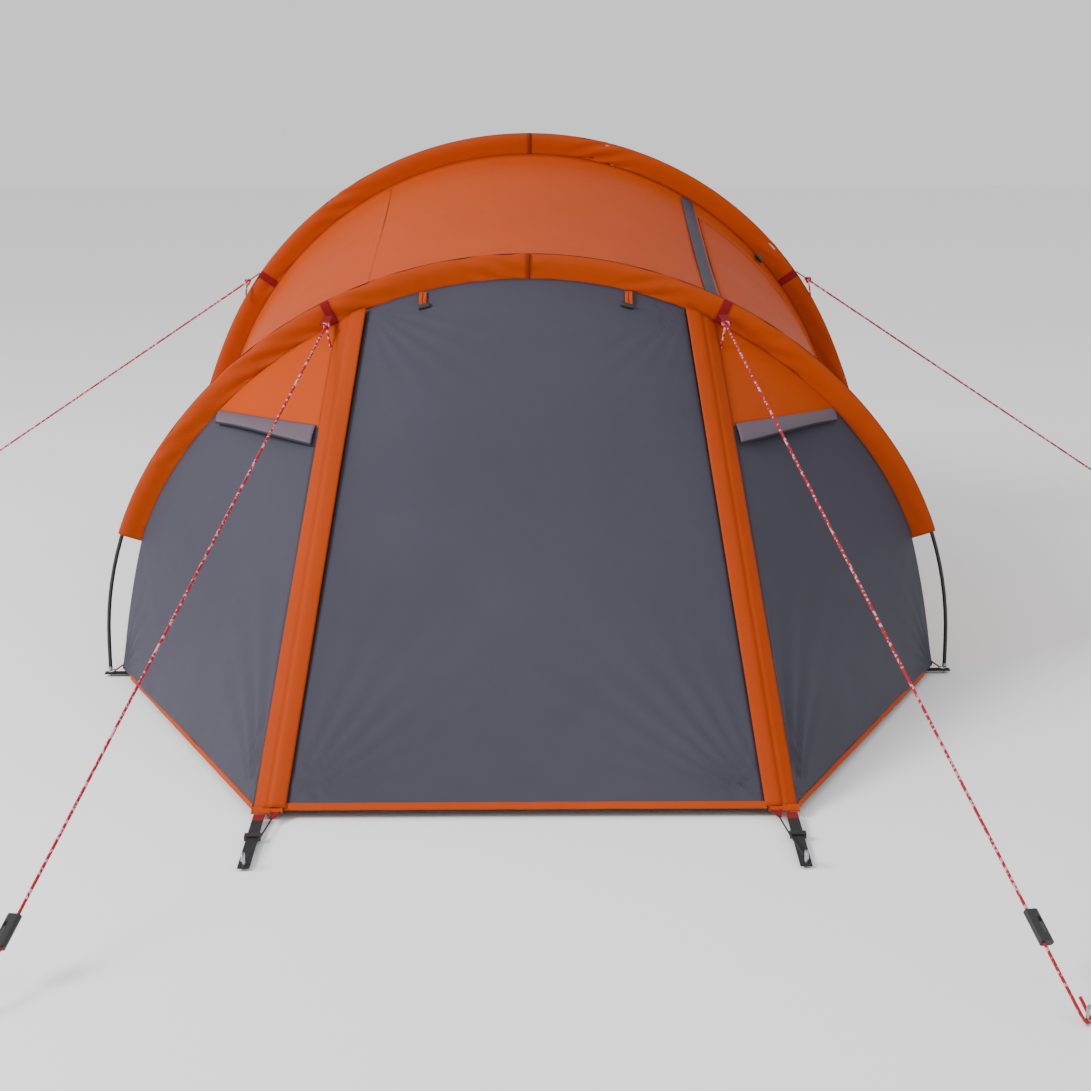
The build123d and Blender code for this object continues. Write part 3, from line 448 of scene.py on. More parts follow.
def panel(name, surface, us, vs, body, nodes=(), relief=None, skip=None, material=None,
          thickness=1.2 * MM):
    """A sewn panel: made, attached to its body or baked in place, its model parts hidden and its cut size printed."""
    piece = grid(name, surface, us, vs, relief, skip, material, thickness)
    width, length, area = cut_size(surface, us, vs)
    if skip:
        area = sum(p.area for p in piece.data.polygons)
    if isinstance(body, str):
        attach(piece, body)
    else:
        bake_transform(piece)
    if nodes:
        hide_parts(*nodes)
    box_area = width * length
    max(min(area, box_area), 0.3 * box_area)
    print(f"{name}: cut {width:.2f} x {length:.2f} m, {area:.2f} m2")
    return piece


# %% [markdown]
# Between two hoops the skin is ruled from one hoop to the next, and pulled in a little midway, as
# cloth under tension is. The roof is orange and the flanks below the seam are slate.

# %% Bays between the hoops
FLANK_SEAM = 0.400
SAG = 11 * MM
DOOR_EDGE = 0.4425
DOOR_MARGIN, DOOR_SILL = 0.110, 0.072
GAP = 2.5 * MM


def skin(fore, aft, k, t, sag=SAG):
    """The fly between two hoops at station k and share t of the bay."""
    inset = lerp(SEAM_INSET, INSET, smooth(0, 0.05, t) * smooth(0, 0.05, 1 - t))
    inset += sag * 4 * t * (1 - t) * (1 - smooth(2.0, 3.0, abs(k)) * 0.7)
    x0, z0 = fore.station(k, inset)
    x1, z1 = aft.station(k, inset)
    return Vector((lerp(fore.edge(x0, z0), aft.edge(x1, z1), t), lerp(fore.y, aft.y, t), lerp(z0, z1, t)))


def station_where(test, start, stop):
    """The station between start and stop where test changes, by halving."""
    for _ in range(26):
        middle = (start + stop) / 2
        if test(middle):
            start = middle
        else:
            stop = middle
    return (start + stop) / 2


def seam_station(fore, aft, t, height):
    return station_where(lambda k: skin(fore, aft, k, t).z > height, 0.2, 3.0)


def edge_station(fore, aft, t, x):
    return station_where(lambda k: skin(fore, aft, k, t).x < x, 0.0, 1.6)


def cloth_relief(seed, billow=1.6 * MM, crinkle=0.5 * MM):
    def relief(u, v, p, n):
        edge = min(smooth(0, 0.04, v), smooth(0, 0.04, 1 - v))
        return edge * (billow * ripple(p, 0.34, seed) + crinkle * ripple(p, 0.075, seed + 3))
    return relief


def hoop_pull(seed, lines, depth=1.8 * MM):
    """Folds that leave a sleeve square to it, where the stitching gathers the cloth."""
    base = cloth_relief(seed)

    def relief(u, v, p, n):
        along = math.cos(math.tau * (lines * u + 0.8 * ripple(p, 0.5, seed)))
        near = math.exp(-v / 0.10) + math.exp(-(1 - v) / 0.10)
        return base(u, v, p, n) + depth * along * near * (0.5 + ripple(p, 0.2, seed)) * min(v, 1 - v, 0.05) * 20
    return relief


def roof_surface(fore, aft, split=None):
    def surface(u, v):
        left = -seam_station(fore, aft, v, FLANK_SEAM)
        right = -left
        if split is None:
            return skin(fore, aft, lerp(left, right, u), v)
        middle = edge_station(fore, aft, v, DOOR_EDGE)
        if u <= split:
            return skin(fore, aft, lerp(left, middle, u / split), v)
        return skin(fore, aft, lerp(middle, right, (u - split) / (1 - split)), v)
    return surface


front_margin = DOOR_MARGIN / (MAIN.y - FRONT.y)
bay_rows = sorted({*spread_of(44), front_margin, 1 - front_margin})
SPLIT = 0.70
roof_columns = sorted({*[SPLIT * i / 84 for i in range(85)], *[SPLIT + (1 - SPLIT) * i / 36 for i in range(37)]})
inside_door = lambda u, v: u > SPLIT and front_margin < v < 1 - front_margin
panel("fly_roof_front_cloth", roof_surface(FRONT, MAIN, SPLIT), roof_columns, bay_rows, "fly",
      ["fly_roof_front"], hoop_pull(1.0, 23), inside_door, ORANGE)
panel("fly_roof_rear_cloth", roof_surface(MAIN, REAR), spread_of(110), spread_of(40), "fly",
      ["fly_roof_rear"], hoop_pull(2.0, 21), None, ORANGE)


def flank_surface(fore, aft, side, sill_share=None):
    def surface(u, v):
        top = seam_station(fore, aft, v, FLANK_SEAM - 1 * MM)
        if sill_share is None:
            return skin(fore, aft, side * lerp(top, 3.0, u), v)
        sill = seam_station(fore, aft, v, DOOR_SILL)
        if u <= sill_share:
            return skin(fore, aft, side * lerp(top, sill, u / sill_share), v)
        return skin(fore, aft, side * lerp(sill, 3.0, (u - sill_share) / (1 - sill_share)), v)
    return surface


SILL_SHARE = 0.8
flank_columns = spread_of(30)
panel("fly_flank_front_left_cloth", flank_surface(FRONT, MAIN, -1), flank_columns, bay_rows, "fly",
      ["fly_flank_front_left"], cloth_relief(3.0), None, GREY)
panel("fly_flank_front_right_cloth", flank_surface(FRONT, MAIN, 1, SILL_SHARE), flank_columns, bay_rows, "fly",
      ["fly_flank_front_right"], cloth_relief(4.0),
      lambda u, v: u < SILL_SHARE and front_margin < v < 1 - front_margin, GREY)
left_rear = panel("fly_flank_rear_left_cloth", flank_surface(MAIN, REAR, -1), flank_columns, spread_of(40), "fly",
                  ["fly_flanks_rear"], cloth_relief(5.0), None, GREY)
panel("fly_flank_rear_right_cloth", flank_surface(MAIN, REAR, 1), flank_columns, spread_of(40), "fly",
      [], cloth_relief(6.0), None, GREY)


# %% [markdown]
# The side door hangs from the seam beside the dark strip, and swings up like a wing. It is the same
# skin as the roof and the flank around it, so it is cut from the same surface with a small gap.

# %% Side door and its strip
def side_door_surface(u, v):
    t = lerp(front_margin + GAP, 1 - front_margin - GAP, v)
    top = edge_station(FRONT, MAIN, t, DOOR_EDGE + GAP)
    sill = seam_station(FRONT, MAIN, t, DOOR_SILL + GAP)
    return skin(FRONT, MAIN, lerp(top, sill, u), t)


panel("side_door_cloth", side_door_surface, spread_of(60), spread_of(40), "side_door",
      ["side_door"], cloth_relief(7.0), None, ORANGE)


def door_zip(name, start, stop):
    """Zip tape that closes the gap round the side door, between two corners given as (height share, bay share)."""
    def point(share_up, t):
        t = lerp(front_margin, 1 - front_margin, t)
        top = edge_station(FRONT, MAIN, t, DOOR_EDGE)
        sill = seam_station(FRONT, MAIN, t, DOOR_SILL)
        return skin(FRONT, MAIN, lerp(top, sill, share_up), t), t

    def surface(u, v):
        p, t = point(lerp(start[0], stop[0], v), lerp(start[1], stop[1], v))
        q, _ = point(lerp(start[0], stop[0], min(v + 0.01, 1.0)), lerp(start[1], stop[1], min(v + 0.01, 1.0)))
        o, _ = point(lerp(start[0], stop[0], max(v - 0.01, 0.0)), lerp(start[1], stop[1], max(v - 0.01, 0.0)))
        outward = Vector((p.x, 0, p.z - 0.1)).normalized()
        across = (q - o).cross(outward).normalized()
        return p + across * (u - 0.5) * 16 * MM - outward * 2.2 * MM

    piece = grid(name, surface, spread_of(4), spread_of(60), None, None, ZIP_TAPE, 1.0 * MM)
    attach(piece, "fly")


door_zip("side_zip_front", (0.0, 0.0), (1.0, 0.0))
door_zip("side_zip_sill", (1.0, 0.0), (1.0, 1.0))
door_zip("side_zip_rear", (1.0, 1.0), (0.0, 1.0))

STRIP_LOW, STRIP_HIGH = 0.404, 0.434


def strip_surface(u, v):
    t = lerp(0.02, 0.975, v)
    k = edge_station(FRONT, MAIN, t, lerp(STRIP_LOW, STRIP_HIGH, u))
    p = skin(FRONT, MAIN, k, t)
    arch = math.sin(math.pi * u)
    return p + Vector((0.4, 0, 0.9)) * (3.5 * MM + 3.0 * MM * arch)


panel("side_door_strip_cloth", strip_surface, spread_of(10), spread_of(60), "fly",
      ["side_door_strip"], cloth_relief(8.0, 0.6 * MM, 0.5 * MM), None, GREY, thickness=2.2 * MM)

# %% [markdown]
# The porch end is three kinds of panel. The door and its two storm flaps run straight down from the
# hoop's crown to the hem. The cheeks beside them are ruled from the hoop's side to the slanting hem,
# and a level seam splits each into an orange top and a slate bottom.

# %% The door and the storm flaps
FRONT_HEM = low("front_door").y
REAR_HEM = high("rear_panel").y
DOOR_TOP, DOOR_BOTTOM = 0.343, 0.426
FLAP_TOP, FLAP_BOTTOM = 56 * MM, 50 * MM
front_drop = FRONT.height - INSET - HEM
front_reach = FRONT.y - FRONT_HEM
DOOR_SLOPE = Vector((0, -front_reach, -front_drop)).normalized()
DOOR_NORMAL = Vector((0, -front_drop, front_reach)).normalized()


def fan(hoop, hem_y, top, bottom, u, v, lift=0.0, start=1.5 * MM):
    """From the hoop's crown to the straight hem. top and bottom are the x limits at each."""
    toward = math.copysign(1, hem_y - hoop.y)
    inset = SEAM_INSET - lift
    normal = Vector((0, toward * (hoop.height - INSET - HEM), abs(hem_y - hoop.y))).normalized()
    x, z = hoop.at(lerp(hoop.angle_at_x(top[0], inset), hoop.angle_at_x(top[1], inset), u), inset)
    a = Vector((x, hoop.y + toward * start, z))
    b = Vector((lerp(bottom[0], bottom[1], u), hem_y, HEM)) + normal * lift
    return a.lerp(b, v)


def door_surface(u, v):
    return fan(FRONT, FRONT_HEM, (-DOOR_TOP, DOOR_TOP), (-DOOR_BOTTOM, DOOR_BOTTOM), u, v)


def door_relief(u, v, p, n):
    edge = smooth(0, 0.03, u) * smooth(0, 0.03, 1 - u) * smooth(0, 0.03, v) * smooth(0, 0.02, 1 - v)
    slack = -9 * MM * math.sin(math.pi * u) * math.sin(math.pi * v)
    folds = 0.0
    for side in (-1, 1):
        bottom_corner = door_surface(0.5 + side * 0.5, 1.0)
        top_corner = door_surface(0.5 + side * 0.5, 0.0)
        folds += rays(p, bottom_corner, (-side * 0.5, 0.4, 0.4), DOOR_NORMAL, 0.8, 9, 0.15, 7.0 * MM, side)
        folds += rays(p, top_corner, (-side * 0.7, -0.5, -0.4), DOOR_NORMAL, 0.8, 7, 0.12, 5.0 * MM, side + 5)
    return slack + edge * (1.6 * MM * ripple(p, 0.38, 11) + 0.5 * MM * ripple(p, 0.09, 12) + folds)


hinge = door_surface(0.5, (FRONT.height - SEAM_INSET - 0.780) / front_drop)
door = panel("front_door_cloth", door_surface, spread_of(84), spread_of(128),
             ("fly", "front_door", tuple(hinge - DOOR_SLOPE * 25 * MM), tuple(hinge + DOOR_SLOPE * 25 * MM)),
             ["front_door", "door_head"], door_relief, None, GREY)


def flap_surface(side):
    """A band folded lengthwise: sewn flat along its outer edge, free and lifted along its inner edge."""
    def surface(u, v):
        lift = lerp(4.5 * MM, -1.0 * MM, smooth(0.35, 1.0, u))
        outer = 4 * MM * smooth(0.6, 1.0, u)
        p = fan(FRONT, FRONT_HEM, (DOOR_TOP - 3 * MM, DOOR_TOP + FLAP_TOP + outer),
                (DOOR_BOTTOM - 3 * MM, DOOR_BOTTOM + FLAP_BOTTOM + outer), u, v, lift, 12 * MM)
        p.x *= side
        return p
    return surface


def flap_relief(side, creases):
    def relief(u, v, p, n):
        out = 1 if n.z > 0 else -1
        body = 4.2 * MM * math.sin(math.pi * u) ** 0.7 - 2.6 * MM * math.exp(-((u - 0.58) / 0.06) ** 2)
        cross = creases * math.exp(-abs(math.sin(5.5 * math.pi * v + ripple(p, 0.3, side))) * 9)
        return out * (body + cross * ripple(p, 0.06, side + 20) + 0.8 * MM * ripple(p, 0.11, side + 21))
    return relief


for name, side in (("left", -1), ("right", 1)):
    panel(f"storm_flap_{name}_cloth", flap_surface(side), spread_of(18), spread_of(120), "fly",
          [f"storm_flap_{name}"], flap_relief(side, (1.2 if side < 0 else 2.6) * MM), None, DEEP_ORANGE,
          thickness=1.8 * MM)


# %% Cheeks
VENT_SEAM = 0.590
HEM_CORNER = 0.481
HEM_STOP = 0.080


def cheek(hoop, hem_y, side, top_half, a, v):
    """From the hoop's side at arc share a to the slanting hem."""
    toward = math.copysign(1, hem_y - hoop.y)
    first = hoop.angle_at_x(top_half + 3 * MM, SEAM_INSET)
    crown_run = (hoop.crown - first) * (hoop.big - SEAM_INSET)
    side_run = (math.pi / 2 - hoop.crown) * (hoop.small - SEAM_INSET)
    leg_run = hoop.leg - HEM
    s = a * (crown_run + side_run + leg_run)
    if s <= crown_run:
        x, z = hoop.at(first + s / (hoop.big - SEAM_INSET), SEAM_INSET)
    elif s <= crown_run + side_run:
        x, z = hoop.at(hoop.crown + (s - crown_run) / (hoop.small - SEAM_INSET), SEAM_INSET)
    else:
        x, z = hoop.half - SEAM_INSET, hoop.leg - (s - crown_run - side_run)
    top = Vector((side * hoop.edge(x, z), hoop.y + toward * 1.5 * MM, z))
    corner = Vector((side * HEM_CORNER, hem_y, HEM))
    foot = Vector((side * hoop.edge(hoop.half - SEAM_INSET, HEM), hoop.y, HEM))
    run = (foot - corner).length - HEM_STOP
    bottom = corner + (foot - corner).normalized() * run * a
    return top.lerp(bottom, v)


def cheek_part(hoop, hem_y, side, top_half, seam, upper):
    def share_at_seam(a):
        head = cheek(hoop, hem_y, side, top_half, a, 0).z
        return 0.0 if head <= seam else (head - seam) / (head - HEM)

    last = station_where(lambda a: cheek(hoop, hem_y, side, top_half, a, 0).z > seam, 0.0, 1.0)

    def surface(u, v):
        if upper:
            a = u * last
            return cheek(hoop, hem_y, side, top_half, a, v * share_at_seam(a))
        return cheek(hoop, hem_y, side, top_half, u, lerp(share_at_seam(u), 1.0, v))
    return surface


def cheek_relief(side, seed):
    corner = Vector((side * HEM_CORNER, FRONT_HEM, HEM))
    foot = Vector((side * (FRONT.half - INSET), FRONT.y, HEM))
    level = (foot - corner).normalized()

    def relief(u, v, p, n):
        edge = smooth(0, 0.03, u) * smooth(0, 0.03, 1 - u) * smooth(0, 0.04, v) * smooth(0, 0.02, 1 - v)
        out = 1 if n.x * side > 0 else -1
        folds = rays(p, corner, level * 0.25 + Vector((0, 0.5, 0.8)), n, 0.6, 7, 0.26, 9.0 * MM, seed)
        folds += rays(p, foot, -level + Vector((0, 0, 0.9)), n, 0.8, 6, 0.12, 4.0 * MM, seed + 2)
        slack = -10 * MM * math.sin(math.pi * min(u * 1.2, 1)) * math.sin(math.pi * v)
        return out * (slack + edge * (2.2 * MM * ripple(p, 0.22, seed) + 0.9 * MM * ripple(p, 0.07, seed + 1) + folds))
    return relief


CHEEK_TOP = DOOR_TOP + FLAP_TOP
for name, side in (("left", -1), ("right", 1)):
    panel(f"front_side_upper_{name}_cloth", cheek_part(FRONT, FRONT_HEM, side, CHEEK_TOP, VENT_SEAM, True),
          spread_of(36), spread_of(20), "fly", [f"front_side_upper_{name}"],
          cloth_relief(30 + side, 1.0 * MM), None, ORANGE)
    panel(f"front_side_lower_{name}_cloth", cheek_part(FRONT, FRONT_HEM, side, CHEEK_TOP, VENT_SEAM, False),
          spread_of(72), spread_of(56), "fly", [f"front_side_lower_{name}"],
          cheek_relief(side, 34 + side), None, GREY)

# %% Rear end
REAR_TOP = 0.399
REAR_CORNER = 0.478
panel("rear_panel_cloth",
      lambda u, v: fan(REAR, REAR_HEM, (-REAR_TOP, REAR_TOP), (-REAR_CORNER, REAR_CORNER), u, v),
      spread_of(70), spread_of(60), "fly", ["rear_panel"], cloth_relief(40.0, 3 * MM), None, GREY)
for name, side in (("left", -1), ("right", 1)):
    panel(f"rear_side_{name}_cloth",
          lambda u, v, side=side: cheek(REAR, REAR_HEM, side, REAR_TOP, u, v),
          spread_of(56), spread_of(44), "fly", ["rear_sides"] if side < 0 else [],
          cloth_relief(42 + side, 2 * MM), None, GREY)


# %% [markdown]
# A sleeve is a tube of cloth folded flat and sewn to the skin, with the pole in its outer edge. The
# stitching gathers it, so it puckers across its length. Its section is a loop round the pole that
# narrows to the seam.

# %% Pole sleeves
SLEEVE_RIM, SLEEVE_DEPTH = 8.2 * MM, 44 * MM


def sleeve_section(share):
    """The outline of a sleeve across its run: (out from the pole, along the tent), share from 0 to 1."""
    around = math.tau * share
    depth = lerp(-SLEEVE_DEPTH, SLEEVE_RIM, (1 + math.cos(around)) / 2)
    near_pole = smooth(-SLEEVE_DEPTH, 0.0, depth)
    half = lerp(2.2 * MM, 7.6 * MM, near_pole)
    return depth, half * math.copysign(abs(math.sin(around)) ** 0.6, math.sin(around))


def sleeve(name, hoop, node, seed):
    last = math.acos((SLEEVE_END - hoop.leg) / hoop.small)

    def surface(u, v):
        angle = lerp(-last, last, u)
        depth, along = sleeve_section(v)
        x, z = hoop.at(angle, -depth)
        return Vector((x, hoop.y + along, z))

    def relief(u, v, p, n):
        inner = (1 - math.cos(math.tau * v)) / 2
        pucker = math.cos(260 * u + 6 * ripple(p, 0.15, seed)) * ripple(p, 0.12, seed + 1)
        slant = 26 * (0.5 - abs(v - 0.5)) * math.copysign(1, u - 0.5)
        crease = math.cos(150 * u + slant + 3 * ripple(p, 0.3, seed)) * smooth(-0.1, 0.5, ripple(p, 0.22, seed + 2))
        return inner * 2.2 * MM * pucker + 2.3 * MM * crease

    piece = panel(name, surface, spread_of(260), spread_of(28), "fly", [node], relief, None,
                  DEEP_ORANGE, thickness=0.8 * MM)
    # A dark line just behind the sleeve's outer rim, standing in for the shadow along that edge: painted shadow.
    line = bpy.data.curves.new(name + "_piping", "CURVE")
    line.dimensions, line.bevel_depth, line.bevel_resolution = "3D", 1.3 * MM, 3
    spline = line.splines.new("POLY")
    count = 160
    spline.points.add(count)
    for i in range(count + 1):
        x, z = hoop.at(lerp(-last, last, i / count), -SLEEVE_RIM - 0.4 * MM)
        spline.points[i].co = (x, hoop.y + 3.5 * MM, z, 1)
    line.materials.append(SLEEVE_RIM_SHADOW)
    trim = bpy.data.objects.new(name + "_piping", line)
    bpy.context.collection.objects.link(trim)
    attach(trim, "fly")
    return piece


def crown_seam(name, hoop):
    """The felled seam where the two halves of a sleeve meet at the crown."""
    def surface(u, v):
        angle = (4 * MM + (u - 0.5) * 9 * MM) / hoop.big
        depth, along = sleeve_section(v)
        x, z = hoop.at(angle, -depth - 1.6 * MM * math.copysign(1, depth + 0.4 * SLEEVE_DEPTH))
        return Vector((x, hoop.y + along * 1.3 + math.copysign(1.2 * MM, along), z))

    piece = grid(name, surface, spread_of(3), spread_of(40), None, None, PIPING_ORANGE, 0.9 * MM)
    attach(piece, "fly")


for name, hoop in (("front", FRONT), ("middle", MAIN), ("rear", REAR)):
    crown_seam(f"crown_seam_{name}", hoop)

sleeve("sleeve_front_cloth", FRONT, "sleeve_front", 51)
sleeve("sleeve_middle_cloth", MAIN, "sleeve_middle", 52)
sleeve("sleeve_rear_cloth", REAR, "sleeve_rear", 53)

# %% [markdown]
# A vent is a stiffened eyebrow over a mesh slot. Its upper edge is sewn along the level seam, and its
# free edge stands off the slate cloth on a piped rim, so a shadow lies under it.

# %% Vent flaps
def seam_line(side, u):
    """A point on the level seam, and the ways down the cloth and out of it, from the sleeve (0) to the band (1)."""
    head = station_where(lambda a: cheek(FRONT, FRONT_HEM, side, CHEEK_TOP, a, 0).z > VENT_SEAM, 0.0, 1.0)
    a = lerp(head * 0.985, head * 0.03, u)
    top = cheek(FRONT, FRONT_HEM, side, CHEEK_TOP, a, 0).z
    v = max((top - VENT_SEAM) / (top - HEM), 0.0)
    p = cheek(FRONT, FRONT_HEM, side, CHEEK_TOP, a, v)
    down = (cheek(FRONT, FRONT_HEM, side, CHEEK_TOP, a, v + 0.05) - p).normalized()
    along = (cheek(FRONT, FRONT_HEM, side, CHEEK_TOP, a * 0.98 - 1e-3, v) - p).normalized()
    out = down.cross(along)
    return p, down, out if out.y < 0 else -out


def vent_surface(side):
    def surface(u, v):
        p, down, out = seam_line(side, u)
        depth = lerp(36 * MM, 54 * MM, smooth(0.0, 1.0, u))
        brow = 18 * MM * math.sin(math.pi * lerp(0.15, 0.90, u)) ** 0.7
        lift = 2 * MM + brow * math.sin(math.pi / 2 * v) ** 0.8
        return p - down * (4 * MM * (1 - v)) + down * depth * v + out * lift
    return surface


def tube(name, path, section, body, finish, nodes=()):
    """A closed trim along a path: section(share) gives its offset vector at each point."""
    mesh = bpy.data.meshes.new(name)
    points, faces, ring = [], [], 10
    for i, p in enumerate(path):
        for j in range(ring):
            points.append(Vector(p) + section(i / (len(path) - 1), math.tau * j / ring, i))
    for i in range(len(path) - 1):
        for j in range(ring):
            k = (j + 1) % ring
            faces.append((i * ring + j, i * ring + k, (i + 1) * ring + k, (i + 1) * ring + j))
    faces.append(tuple(range(ring)))
    faces.append(tuple((len(path) - 1) * ring + j for j in reversed(range(ring))))
    mesh.from_pydata(points, [], faces)
    mesh.polygons.foreach_set("use_smooth", [True] * len(mesh.polygons))
    mesh.materials.append(finish)
    trim = bpy.data.objects.new(name, mesh)
    bpy.context.collection.objects.link(trim)
    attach(trim, body)
    if nodes:
        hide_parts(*nodes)
    return trim


for name, side in (("left", -1), ("right", 1)):
    surface = vent_surface(side)
    sewn, free = (Vector((0, 0, VENT_SEAM + rise)) for rise in (4 * MM, -10 * MM))
    panel(f"vent_flap_{name}_cloth", surface, spread_of(40), spread_of(12),
          ("fly", f"vent_{name}", sewn, free),
          [f"vent_flap_{name}"], cloth_relief(60 + side, 0.8 * MM, 0.6 * MM), None, PALE_GREY, thickness=2.0 * MM)
    rim = [surface(i / 50, 1.0) for i in range(51)]
    tube(f"vent_rim_{name}", rim,
         lambda share, angle, i: Vector((0, -2.2 * MM * math.cos(angle), 2.2 * MM * math.sin(angle))),
         f"vent_{name}", PIPING_GREY)

# %% [markdown]
# The hem is bound with orange tape folded over the edge. The tape is a little tight, so it ripples.

# %% Hem bindings
def binding(name, path, up, body, nodes=(), height=15 * MM, thick=3.4 * MM):
    up = Vector(up).normalized()
    heading = (Vector(path[-1]) - Vector(path[0])).normalized()
    out = heading.cross(up).normalized()

    def section(share, angle, i):
        ripple_here = 1.0 * MM * ripple(path[i], 0.05, 70)
        tall = (height / 2) * math.copysign(abs(math.sin(angle)) ** 0.6, math.sin(angle))
        wide = (thick / 2) * math.cos(angle)
        return up * tall + out * (wide + ripple_here)

    return tube(name, path, section, body, BINDING_ORANGE, nodes)


def straight(a, b, steps=90):
    return [Vector(a).lerp(Vector(b), i / steps) for i in range(steps + 1)]


door_path = [door_surface(i / 120, 0.996) + DOOR_NORMAL * 0.5 * MM for i in range(121)]
binding("door_hem_cloth", door_path, -DOOR_SLOPE, "front_door", ["door_hem_binding"])
for end, hoop, hem_y in (("front", FRONT, FRONT_HEM), ("rear", REAR, REAR_HEM)):
    for name, side in (("left", -1), ("right", 1)):
        half_top = CHEEK_TOP if end == "front" else REAR_TOP
        path = [cheek(hoop, hem_y, side, half_top, i / 90, 0.997) for i in range(91)]
        binding(f"side_hem_{end}_{name}", path, path[45] * -1 + cheek(hoop, hem_y, side, half_top, 0.5, 0.9), "fly",
                ["side_hem_bindings"] if (end, side) == ("front", -1) else [])
        corner = Vector((side * HEM_CORNER, hem_y, HEM))
        if end == "front":
            inner = Vector((side * (DOOR_BOTTOM + 2 * MM), hem_y - 5 * MM, HEM + 2 * MM))
            binding(f"band_hem_{name}", straight(inner, corner + Vector((side * 2 * MM, -4 * MM, 0)), 12),
                    -DOOR_SLOPE, "fly")
binding("rear_hem_cloth", straight((-REAR_CORNER, REAR_HEM, HEM), (REAR_CORNER, REAR_HEM, HEM)), (0, -0.6, 0.8), "fly")

# %% [markdown]
# The guy lines are braided cord. Each runs straight from its tab to the peg, takes a turn round it and
# comes back to the line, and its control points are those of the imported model.

# %% Guy lines
CORD_DIA = 5 * MM


def guy_line(name, points):
    line = bpy.data.curves.new(name, "CURVE")
    line.dimensions, line.bevel_depth, line.bevel_resolution = "3D", CORD_DIA / 2, 3
    line.resolution_u = 16
    spline = line.splines.new("NURBS")
    spline.points.add(len(points) - 1)
    for control, point in zip(spline.points, points):
        control.co = (*point, 1)
    spline.order_u = 3
    spline.use_endpoint_u = True
    line.materials.append(CORD)
    cord = bpy.data.objects.new(name + "_cord", line)
    bpy.context.collection.objects.link(cord)
    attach(cord, "fly")
    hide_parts(name)
    length = sum((Vector(b) - Vector(a)).length for a, b in zip(points, points[1:]))
    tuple(points[0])
    print(f"{name}: {length:.2f} m")


def before(a, b, gap):
    """The point this far short of b on the run from a."""
    a, b = Vector(a), Vector(b)
    return tuple(b + (a - b).normalized() * gap)


for name, side in (("left", -1), ("right", 1)):
    start, turn = (side * 0.421192, -0.966603, 0.782020), (side * 0.763443, -2.686820, 0.006435)
    guy_line(f"guy_line_front_{name}", [start, before(start, turn, 30 * MM), turn,
                                        (side * 0.774820, -2.684557, 0.006435),
                                        (side * 0.766789, -2.644192, 0.024634)])
    start, turn = (side * 0.746782, 0.1742, 0.782958), (side * 1.9258, 0.1742, 0.005174)
    guy_line(f"guy_line_main_{name}", [start, before(start, turn, 30 * MM), turn, (side * 1.9258, 0.1858, 0.005174),
                                       (side * 1.888237, 0.1858, 0.029954)])

# %% [markdown]
# Inside hangs the sleeping room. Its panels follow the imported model's own mesh, cut finer and moved by
# a slow field of noise, so both faces of the cloth move together.

# %% Inner tent
noise.seed_set(7)  # vector noise differs from run to run unless it is given a seed


def hang(name, node, body, finish, width, depth=4 * MM, span=0.05):
    mesh = bpy.data.objects[node].data.copy()
    mesh.name = name
    built = bmesh.new()
    built.from_mesh(mesh)
    bmesh.ops.remove_doubles(built, verts=built.verts, dist=0.02 * MM)
    for step in range(9):
        long_edges = [e for e in built.edges if e.calc_length() > span]
        if not long_edges:
            break
        bmesh.ops.subdivide_edges(built, edges=long_edges, cuts=1)
        bmesh.ops.triangulate(built, faces=[f for f in built.faces if len(f.verts) > 3])
    for vertex in built.verts:
        field = noise.noise_vector(vertex.co / 0.3) * depth + noise.noise_vector(vertex.co / 0.08) * depth * 0.2
        field.z = max(field.z, -0.5 * MM) if vertex.co.z < 5 * MM else field.z
        vertex.co += field * (0.0 if vertex.co.z < 2 * MM else 1.0)
    area = sum(f.calc_area() for f in built.faces) / 2
    built.to_mesh(mesh)
    built.free()
    mesh.materials.clear()
    mesh.materials.append(finish)
    piece = bpy.data.objects.new(name, mesh)
    bpy.context.collection.objects.link(piece)
    piece.matrix_world = bpy.data.objects[node].matrix_world
    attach(piece, body)
    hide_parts(node)
    area / width
    area * 0.999
    print(f"{name}: {width:.2f} x {area / width:.2f} m, {len(mesh.polygons)} faces")


hang("inner_canopy_cloth", "inner_canopy", "fly", INNER, 2.2)
hang("inner_front_wall_cloth", "inner_front_wall", "fly", INNER, 1.6, 2 * MM)
hang("inner_door_cloth", "inner_door", "inner_door", INNER, 0.65, 1.2 * MM)
hang("inner_rear_wall_cloth", "inner_rear_wall", "fly", INNER, 0.85, 1.5 * MM)
hang("inner_floor_cloth", "inner_groundsheet", "fly", FLOOR, 1.6, 2 * MM)

# %% [markdown]
# Small sewn things: the ribbon loops that hold a rolled door, and the felled seam along the roof.

# %% Ribbons and the roof seam
def seam_tape(name, x0, x1, lift, arch):
    def surface(u, v):
        t = lerp(0.02, 0.975, v)
        k = edge_station(FRONT, MAIN, t, lerp(x0, x1, u)) if x0 > 0 else -edge_station(FRONT, MAIN, t, -lerp(x0, x1, u))
        return skin(FRONT, MAIN, k, t) + Vector((math.copysign(0.4, x0), 0, 0.9)) * (lift + arch * math.sin(math.pi * u))
    return surface


panel("roof_seam_tape", seam_tape("roof_seam", -0.368, -0.358, 1.0 * MM, 0.6 * MM), spread_of(6), spread_of(60), "fly",
      [], None, None, ORANGE, thickness=0.8 * MM)


